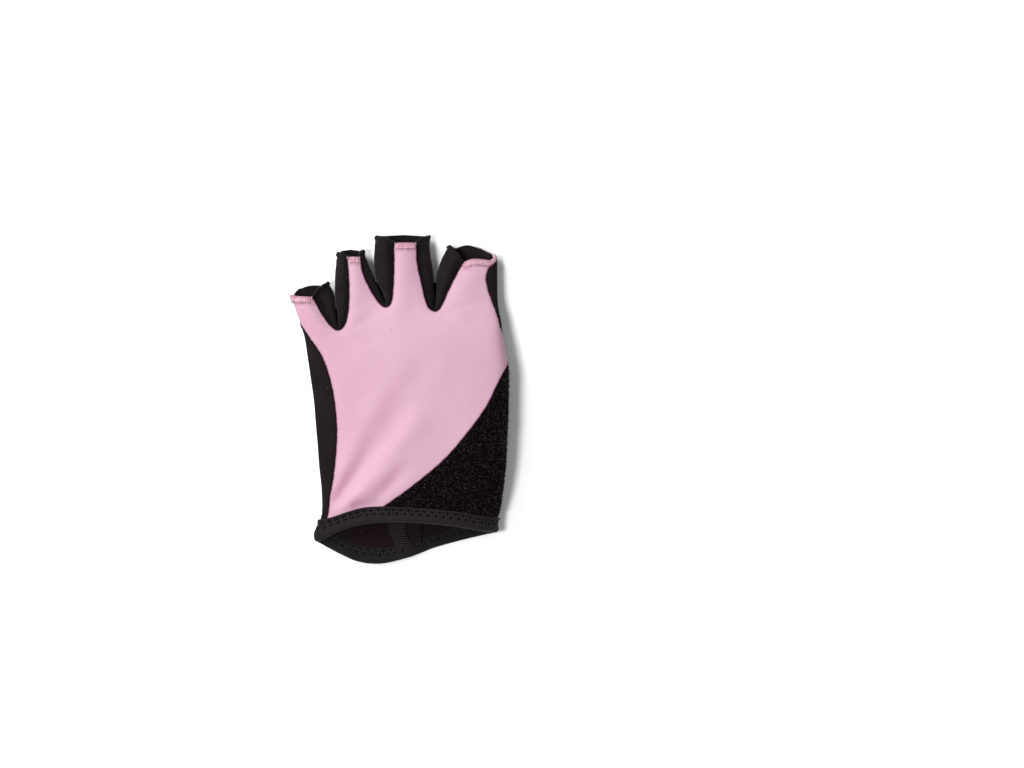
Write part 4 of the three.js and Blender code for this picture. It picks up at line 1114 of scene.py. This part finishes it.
STRIP_ENDS = []
for name, rows in NOTCHES.items():
    outer = strip(rows)
    stations, steps = outer.shape[:2]
    i, j = np.meshgrid(np.arange(stations), np.arange(steps), indexing="ij")
    from_end = np.minimum(i, stations - 1 - i)
    ahead = np.gradient(outer, axis=0)
    normal = unit(np.cross(ahead, np.gradient(outer, axis=1)))
    ahead = unit(ahead) * np.sign(i - stations / 2)[..., None]
    thin = 0.5 * SUEDE * (1 - np.sqrt(np.clip(1 - (1 - np.clip(from_end / 3.0, 0, 1)) ** 2, 0, 1)))
    fold, rolled = 1 - ease(3, 16, from_end), 1 - ease(3, 6, from_end)
    ear = 1.1 * bell(j - 0.2 * steps, 2.6) + 0.15 * bell(j - 0.62 * steps, 2.4)
    outer = outer + ahead * (rolled * (0.42 * waves(j * 1.9, i * 0.25, 1.5, 0.7) + ear))[..., None]
    ripple = (0.08 * waves(i * 0.6, j * 0.9, 3.0, 0.9)
              + fold * (0.2 + 0.2 * waves(i * 0.5, j * 0.8, 1.3, 2.2))
              + rolled * (0.22 + 0.26 * waves(j * 2.3, i * 0.4, 1.6, 1.4)))
    shown = outer + normal * (ripple - thin)[..., None]
    hidden = outer - normal * (SUEDE - thin + 0.1 * fold)[..., None]
    STRIP_ENDS += [(shown[k], ahead[k], normal[k]) for k in (0, -1)]
    # Painted shade on the strip: darkest where it tucks under the back's edge, down towards the palm and in
    # the notch bottom, and on its whole inner face.
    painted_pit_shade = (0.75 * (1 - ease(1.4, 3.2, j)) + 0.6 * ease(0.36, 0.66, j / steps)
           + 0.35 * bell(i - stations / 2, 26))
    painted_pit_shade = np.append(np.clip(painted_pit_shade, 0, 0.9), np.full(painted_pit_shade.size, 0.7))
    uv = np.stack([j.ravel() * 0.6, i.ravel() * 0.8], -1)
    points, faces = shell(shown.reshape(-1, 3), hidden.reshape(-1, 3),
                          turned_over(grid_faces(stations, steps, joined_cols=False)))
    make_piece(name + "_knit", points, faces, stretch, np.concatenate([uv, uv]), {"painted_pit_shade": painted_pit_shade},
               name)


# The cuff binding

CUFF_MIDDLE_Y = -60.0


def cuff_spread(s, side, share):
    turn = math.pi * share
    right = s.right_start + s.roll_right * np.sin(turn)
    under = s.right_start + (s.palm_start - s.right_start) * share
    back = s.left_start + share * (s.right_start - s.left_start)
    left = np.where(share < 0.5, s.palm_start - ROLL_LEFT_UNDER * np.sin(turn),
                    s.left_start - s.roll_left * np.sin(turn))
    return np.select([side == 0, side == 1, side == 2], [back, right, under], left)


def cuff_point(u, inward):
    """The cuff as a loop: back, thumb side, palm, little-finger side. inward is 0 at the lower edge."""
    side = np.floor(u) % 4
    share = u - np.floor(u)
    turn = math.pi * share
    guess = cuff_spread(Section(np.full(np.shape(u), CUFF_MIDDLE_Y)), side, share)
    above = (side == 0) | ((side == 1) & (share < 0.5)) | ((side == 3) & (share > 0.5))
    y = np.where(above, cuff_back_at(guess), cuff_palm_at(guess)) + inward * binding_wide_at(guess)
    s = Section(y)
    x = cuff_spread(s, side, share)
    back_z = back_height(x, y)
    palm_z = s.floor + (PALM_BASE - s.floor) * ease(14, 2, x)
    over_left = s.shoulder(np.clip(s.left_start - x, 0, s.roll_left), y) - s.side_left
    left_z = s.side_left - np.where(share > 0.5, over_left, s.side_left - PALM_BASE) * np.cos(turn)
    over_right = np.where(share < 0.5, back_z - s.side_right, s.side_right - s.floor)
    right_z = s.side_right + over_right * np.cos(turn)
    z = np.select([side == 0, side == 1, side == 2], [back_z, right_z, palm_z], left_z)
    return np.stack([x, y, z], -1)


# Cross-section of the binding: millimetres up from the lower edge, and out from the cloth
BINDING_PROFILE = spline([
    (6.62, -0.75), (6.86, -0.35), (6.92, 0.08), (6.72, 0.44), (6.3, 0.56), (5.9, 0.42), (5.5, 0.27),
    (4.8, 0.24), (4.1, 0.26), (3.55, 0.36), (3.0, 0.60), (2.4, 0.80), (1.7, 0.84), (1.1, 0.66),
    (0.6, 0.34), (0.25, -0.10), (0.08, -0.6), (0.05, -1.1), (0.2, -1.6), (0.55, -2.0), (1.1, -2.28),
    (1.8, -2.42), (2.5, -2.40), (3.1, -2.22), (3.7, -2.10), (4.4, -2.06), (5.1, -2.08), (5.7, -2.16),
    (6.2, -2.14), (6.5, -1.9), (6.56, -1.4), (6.62, -0.75)], 0.3)[:-1]
BINDING_LEVEL, LOOP_STATIONS, OUTSIDE_FROM = 6.6, 960, -0.9
ZIG_LOW, ZIG_HIGH, ZIG_PITCH = 3.85, 5.4, 3.5
OUTSIDE, INSIDE, INSIDE_SHADE = 0.27, -2.08, 0.3
CUFF_SHARES = np.linspace(0, 4, 1601)
CUFF_RUNS = runs_of(cuff_point(CUFF_SHARES, 0.5))
LOOP_LENGTH = CUFF_RUNS[-1]
LOOP_U = np.interp(np.linspace(0, LOOP_LENGTH, LOOP_STATIONS + 1)[:-1], CUFF_RUNS, CUFF_SHARES)
ZIG_COUNT = int(round(LOOP_LENGTH / ZIG_PITCH))
PHASE = 2 * math.pi * ZIG_COUNT * np.arange(LOOP_STATIONS) / LOOP_STATIONS


def cuff_frame(up):
    """Places and outward normals round the whole cuff, at a height up (mm) on the binding."""
    at = cuff_point(LOOP_U, up / BINDING_LEVEL)
    ahead = np.roll(at, -2, axis=0) - np.roll(at, 2, axis=0)
    out = unit(np.cross(ahead, cuff_point(LOOP_U, up / BINDING_LEVEL + 0.01) - at))
    for _ in range(14):
        out = (np.roll(out, 1, axis=0) + 2 * out + np.roll(out, -1, axis=0)) / 4
    return at, unit(out)


def zig_dents(up):
    """How far the cover stitch presses the elastic in at a height up, and how much painted shade darkens its
    needle holes there.
    """
    gap = LOOP_LENGTH / ZIG_COUNT / (2 * math.pi)
    dent = 0.0
    for row, turn in ((ZIG_HIGH, 0.0), (ZIG_LOW, math.pi)):
        along = ((PHASE + turn + math.pi) % (2 * math.pi) - math.pi) * gap
        dent = dent + 0.85 * bell(along, 0.74) * bell(up - row, 0.56)
    share = np.clip((up - ZIG_LOW) / (ZIG_HIGH - ZIG_LOW), -0.4, 1.4)
    line = (np.abs((PHASE + math.pi) % (2 * math.pi) - math.pi) - math.pi * (1 - share)) * gap
    band = 0.16 * math.exp(-(((up - (ZIG_LOW + ZIG_HIGH) / 2) / 0.95) ** 4))
    return dent + band * (1 - bell(line, 0.3)), np.clip(dent * 3.0 - 0.5, 0, 1)


grid, painted_pit_shades = [], []
for up, off in BINDING_PROFILE:
    at, out = cuff_frame(up)
    dent, painted_pit_shade = zig_dents(up)
    ripple = 0.05 * np.sin(PHASE * 0.5 + up) + 0.05 * np.sin(PHASE * 0.23 + 1.7 * up)
    outside = off > OUTSIDE_FROM
    grid.append(at + out * (off - (dent if outside else -dent) + ripple)[:, None])
    # Painted shade: the needle holes are darkened, and the binding's inner side a little all over.
    painted_pit_shades.append(np.maximum(painted_pit_shade, 0.0 if outside else INSIDE_SHADE))
i, j = np.meshgrid(np.arange(LOOP_STATIONS), np.arange(len(grid)), indexing="ij")
make_piece("cuff_elastic", np.stack(grid, 1).reshape(-1, 3), grid_faces(LOOP_STATIONS, len(grid), True),
           elastic, np.stack([i.ravel() * LOOP_LENGTH / LOOP_STATIONS, j.ravel() * 0.3], -1),
           {"painted_pit_shade": np.stack(painted_pit_shades, 1).ravel()}, "cuff_binding")


# Pads

def pad_relief(ring):
    def high(v, y):
        d = distance(v, y, ring, True)
        full = ease(0.8, PAD_BEVEL + 0.8, d)
        groove = 0.35 * bell(d - 1.6, 0.45)
        return PAD_GAP + PAD_EDGE + (PAD_THICK - PAD_EDGE) * full - groove + 0.05 * waves(v, y, 5.0, 0.5)
    return high


PADS = {
    "heel_pad": [(-24, -48.5), (-9, -45.8), (-3, -41), (-3.4, -34.5), (-12, -24), (-22, -15.5), (-29, -10),
                 (-32, -13), (-31.4, -30), (-29.6, -44)],
    "knuckle_pad": [(30, 43), (22, 44.5), (13, 45.5), (3, 48.4), (-4, 46.4), (-10, 43.2), (-17, 45.4),
                    (-23, 41), (-28, 34.6), (-33, 38), (-37, 36), (-38, 28), (-35, 21.5), (-26, 19),
                    (-10, 20), (8, 23.5), (22, 25), (29.4, 28), (31.6, 36)],
}
PAD_RINGS = [closed(spline(mapped(on_palm, route + route[:1]))) for route in PADS.values()]
for name, ring in zip(PADS, PAD_RINGS):
    piece = cloth(name + "_suede", ring, 1.0, place, constant(0.1), pad_relief(ring), pad_suede,
                  name)


# Ribbons and tape

TABS = {"tab_middle_knit": ("pull_tab_middle", (-7.6, 61.5), (10.4, 71.5)),
        "tab_little_knit": ("pull_tab_little", (-46, 41.5), (-35.6, 49.4))}
TAB_KNOT = 0.9


def ribbon(name, node, low_corner, high_corner, low, high, material, slant=0.0):
    (x0, y0), (x1, y1) = low_corner, high_corner
    middle = (x0 + x1) / 2
    ring = closed(mapped(on_palm, [(x0, y0), (middle, y0), (x1, y0), (x1 + slant, y1), (middle + slant, y1),
                                   (x0 + slant, y1)]))
    cloth(name, ring, 0.45, place, low, high, material, node)


def tab_face(v, y):
    knots = np.sin(v * 2 * math.pi / TAB_KNOT) * np.sin(y * 2 * math.pi / TAB_KNOT)
    return GAP + RIBBON - 0.1 + 0.09 * knots


for name, (node, *ends) in TABS.items():
    ribbon(name, node, *ends, constant(0.05), tab_face, dotted)
ribbon("cuff_tape_ribbed", "cuff_tape", (-1.0, -68.2), (6.4, -49), constant(-SUEDE - GAP - TAPE),
       constant(-SUEDE - 0.1), ribbed, -3.4)


# Stitches, as rows of starts, ends and normals

def threads(name, rows, thick, material, sag=0.5, sides=5, rings=5):
    """Short lengths of thread, each a thin rounded bar from a start to an end."""
    starts, ends, normals = (np.concatenate(part) for part in zip(*rows))
    length = np.linalg.norm(ends - starts, axis=1)[:, None]
    along = (ends - starts) / length
    side = unit(np.cross(normals, along))
    up = np.cross(along, side)
    t = np.linspace(-1, 1, rings)
    bow = np.sqrt(np.clip(1 - np.abs(t) ** 2.4, 0.06, 1))
    grid = np.zeros((len(starts), rings, sides, 3))
    for i in range(rings):
        reach, lift = thick / 2 * bow[i], thick * sag * (bow[i] - 0.6)
        centre = (starts + ends) / 2 + along * length / 2 * t[i]
        for j, angle in enumerate(np.arange(sides) / sides * 2 * math.pi):
            grid[:, i, j] = centre + side * (reach * math.cos(angle)) + up * (reach * math.sin(angle) + lift)
    first = np.arange(len(starts))[:, None] * rings * sides + np.arange(sides)
    faces = [*tube_faces(len(starts), rings, sides), *first[:, ::-1], *(first + (rings - 1) * sides)]
    make_piece(name, grid.reshape(-1, 3), faces, material)


def above(height, more):
    """A height over the glove with a little more added."""
    return lambda v, y: height(v, y) + more


def raised(line, lift):
    """Places over pattern points, at a height over the glove, and the way out from it there."""
    normal = outward(place, *line.T)
    return place(*line.T) + normal * lift(*line.T)[:, None], normal


def run_of(line, lift, pitch, share=0.62, skip=0.0):
    """A row of running stitches along a pattern line."""
    path, normal = raised(line, lift)
    runs = runs_of(path)
    at = skip + (np.arange(int((runs[-1] - 2 * skip) / pitch)) + 0.5) * pitch
    half = pitch * share / 2
    return sample(at - half, runs, path), sample(at + half, runs, path), unit(sample(at, runs, normal))


def seam_rows(line, reaches, cut):
    """Rows of stitches beside a seam, which stop short of its ends."""
    return [run_of(beside(line, reach)[cut:-cut], constant(0.12), 2.1) for reach in reaches]


def side_of(line, ring):
    """1 where the ring's inside lies to the left of the line, -1 where it lies to the right."""
    return 1 if inside(*beside(line, 0.6)[len(line) // 2], ring) else -1


def across(line, ring, inner, outer, sink, pitch, lift):
    """Stitches over an edge: from a distance inside it to a distance past it, where they turn down."""
    side, runs = side_of(line, ring), runs_of(line)
    at = np.arange(pitch / 2, runs[-1], pitch)
    starts, normals = raised(sample(at, runs, beside(line, inner * side)), lift)
    ends, _ = raised(sample(at, runs, beside(line, -outer * side)), above(lift, -sink))
    return starts, ends, normals


def cover_stitch(off):
    """Threads that cross between the two rows of needle holes, round the whole cuff."""
    count = ZIG_COUNT * 2
    stops = np.round(np.arange(count) * LOOP_STATIONS / count).astype(int) % LOOP_STATIONS
    odd = (np.arange(count) % 2 == 1)[:, None]
    rows = zip(cuff_frame(ZIG_LOW), cuff_frame(ZIG_HIGH))
    at, out = (np.where(odd, low[stops], high[stops]) for low, high in rows)
    at = at + out * off
    run = np.roll(at, -1, axis=0) - at
    return at + run * 0.2, at + run * 0.8, out * (1 if off > OUTSIDE_FROM else -1)


def overlock():
    """Thread loops round the raw ends of the strips between the fingers."""
    rng = np.random.RandomState(5)
    rows = []
    for edge, ahead, normal in STRIP_ENDS:
        runs = runs_of(edge)
        at = np.arange(0.6, runs[-1] * 0.8, 0.62)
        at = at + rng.uniform(-0.12, 0.12, len(at))
        p, w, n = (sample(at, runs, values) for values in (edge, ahead, normal))
        inward, beyond = rng.uniform(0.9, 1.6, (len(at), 1)), rng.uniform(0.1, 0.5, (len(at), 1))
        rows.append((p - w * inward + n * 0.55, p + w * beyond + n * 0.2, n))
    return rows


HEM_STITCH = 2.75
rows = [run_of(beside(line, HEM_STITCH * side_of(line, BACK_RING)), above(back_relief, 0.1), 1.15, 0.4, 0.6)
        for line in HEMS[:3] + [HEM_INDEX[len(HEM_INDEX) // 3:]]]
threads("hem_stitches", rows, 0.54, pink_thread)
rows = [across(line, BACK_RING, 1.1, 0.22, 0.3, 0.92, above(back_relief, -0.08)) for line in HEMS]
threads("hem_loops", rows, 0.54, pink_loops)
INDEX_END = dense(mapped(on_palm, [(41.6, 64.8), (36, 67.3), (30, 68.7)]))
rows = [across(INDEX_END, PALM_RING, inner, 0.35, -0.9, pitch, constant(-SUEDE - 0.15))
        for inner, pitch in ((1.5, 0.75), (2.3, 1.7))]
threads("index_end_stitches", rows, 0.62, black_thread, 0.9)
rows = [across(line, BACK_RING, 0.42, 0.5, 0.35, 1.1, above(back_relief, -0.06))
        for line in (SEAM_LITTLE[4:], SEAM_TERRY, SEAM_INDEX[:-4], *[line[3:-3] for line in NOTCH_TOP])]
threads("seam_stitches", rows, 0.4, seam_thread)
rows = [cover_stitch(OUTSIDE - 0.14), cover_stitch(INSIDE + 0.14)]
threads("cuff_stitches", rows, 0.38, binding_zig_glint, 0.9)
threads("overlocked_ends", overlock(), 0.52, binding_thread, 0.9)
threads("palm_stitches", seam_rows(PALM_OVER_PATCH, (-1.3, -2.9), 2), 0.36, black_thread)
BLANKET = spline([on_curl(0.5, OPENING_AT_FOLD[1]), *opening(on_under, (0.25, 0.5)), SEAM_ARC[-1]])
rows = [across(BLANKET[2:-2], THUMB_RING, 1.7, 0.0, 0.2, 1.5, constant(-0.25))]
threads("thumb_stitches", rows, 0.4, black_thread)
threads("patch_stitches", seam_rows(SEAM_ARC, (-1.2, -2.8), 4), 0.36, black_thread)

# Inside the cuff, over the step from the palm down to the thumb panel
SEAM_Y = np.arange(-65.5, -53.5, 0.85)
SEAM_X = np.full(len(SEAM_Y), 8.2)
SEAM_START = np.stack([SEAM_X, SEAM_Y, palm_height(SEAM_X, SEAM_Y) + SUEDE + 0.1], -1)
SEAM_END = np.stack([SEAM_X + 1.7, SEAM_Y + 0.35, SEAM_X * 0 + CUFF_LIFT + TERRY + 0.1], -1)
rows = [(SEAM_START, SEAM_END, SEAM_START * 0 + [0.5, 0, 0.9])]
threads("inner_seam_stitches", rows, 0.6, black_thread, 0.9)

rows = [run_of(beside(np.append(ring, ring[:1], axis=0), 1.6), above(pad_relief(ring), 0.08), 1.9, 0.6)
        for ring in PAD_RINGS]
threads("pad_stitches", rows, 0.36, black_thread)
rows = []
for _, (x0, y0), (x1, y1) in TABS.values():
    for y in (y0 + 0.8, y0 + 1.9, y1 - 1.9, y1 - 0.8):
        line = on_palm(np.linspace(x0 + 0.5, x1 - 0.5, 40), np.full(40, y))
        rows.append(run_of(line, constant(GAP + RIBBON), 1.6, 0.6))
threads("tab_stitches", rows, 0.32, black_thread)


# Stage, light and camera

FLOOR_LINE = np.linspace(-3.0, 3.0, 13)
mesh = bpy.data.meshes.new("floor")
mesh.from_pydata([(x, y, 0.0) for y in FLOOR_LINE for x in FLOOR_LINE], [],
                 grid_faces(len(FLOOR_LINE), len(FLOOR_LINE), joined_cols=False).tolist())
mesh.materials.append(floor_material())
floor = added("floor", mesh)

scene = bpy.context.scene
world = bpy.data.worlds.new("studio")
world.use_nodes = True
world.node_tree.nodes["Background"].inputs[0].default_value = WHITE
world.node_tree.nodes["Background"].inputs[1].default_value = 0.43
scene.world = world

# Lamps, aimed at the middle of the floor: place, size and power
for name, place_at, size, power in (("key", (-0.745, -0.16, 2.064), 0.46, 37),
                                    ("side", (-1.387, 1.040, 1.354), 1.05, 47)):
    data = bpy.data.lights.new(name, "AREA")
    data.shape, data.size, data.energy = "SQUARE", size, power
    light = added(name, data)
    light.location = place_at
    light.rotation_euler = (-Vector(place_at)).to_track_quat("-Z", "Y").to_euler()

CAMERA_HEIGHT, LOOK_X, LOOK_Y, GLOVE_LEVEL = 2.6, 0.05071, 0.00676, 0.009
FIELD = 1024 * 0.45 * MM
SENSOR = 36.0
camera_data = bpy.data.cameras.new("camera")
camera_data.sensor_width = SENSOR
camera_data.lens = SENSOR * (CAMERA_HEIGHT - GLOVE_LEVEL) / FIELD
camera = added("camera", camera_data)
camera.location = (LOOK_X, LOOK_Y, CAMERA_HEIGHT)
camera.rotation_euler = (0, 0, 0)
scene.camera = camera
scene.view_settings.view_transform = "Standard"
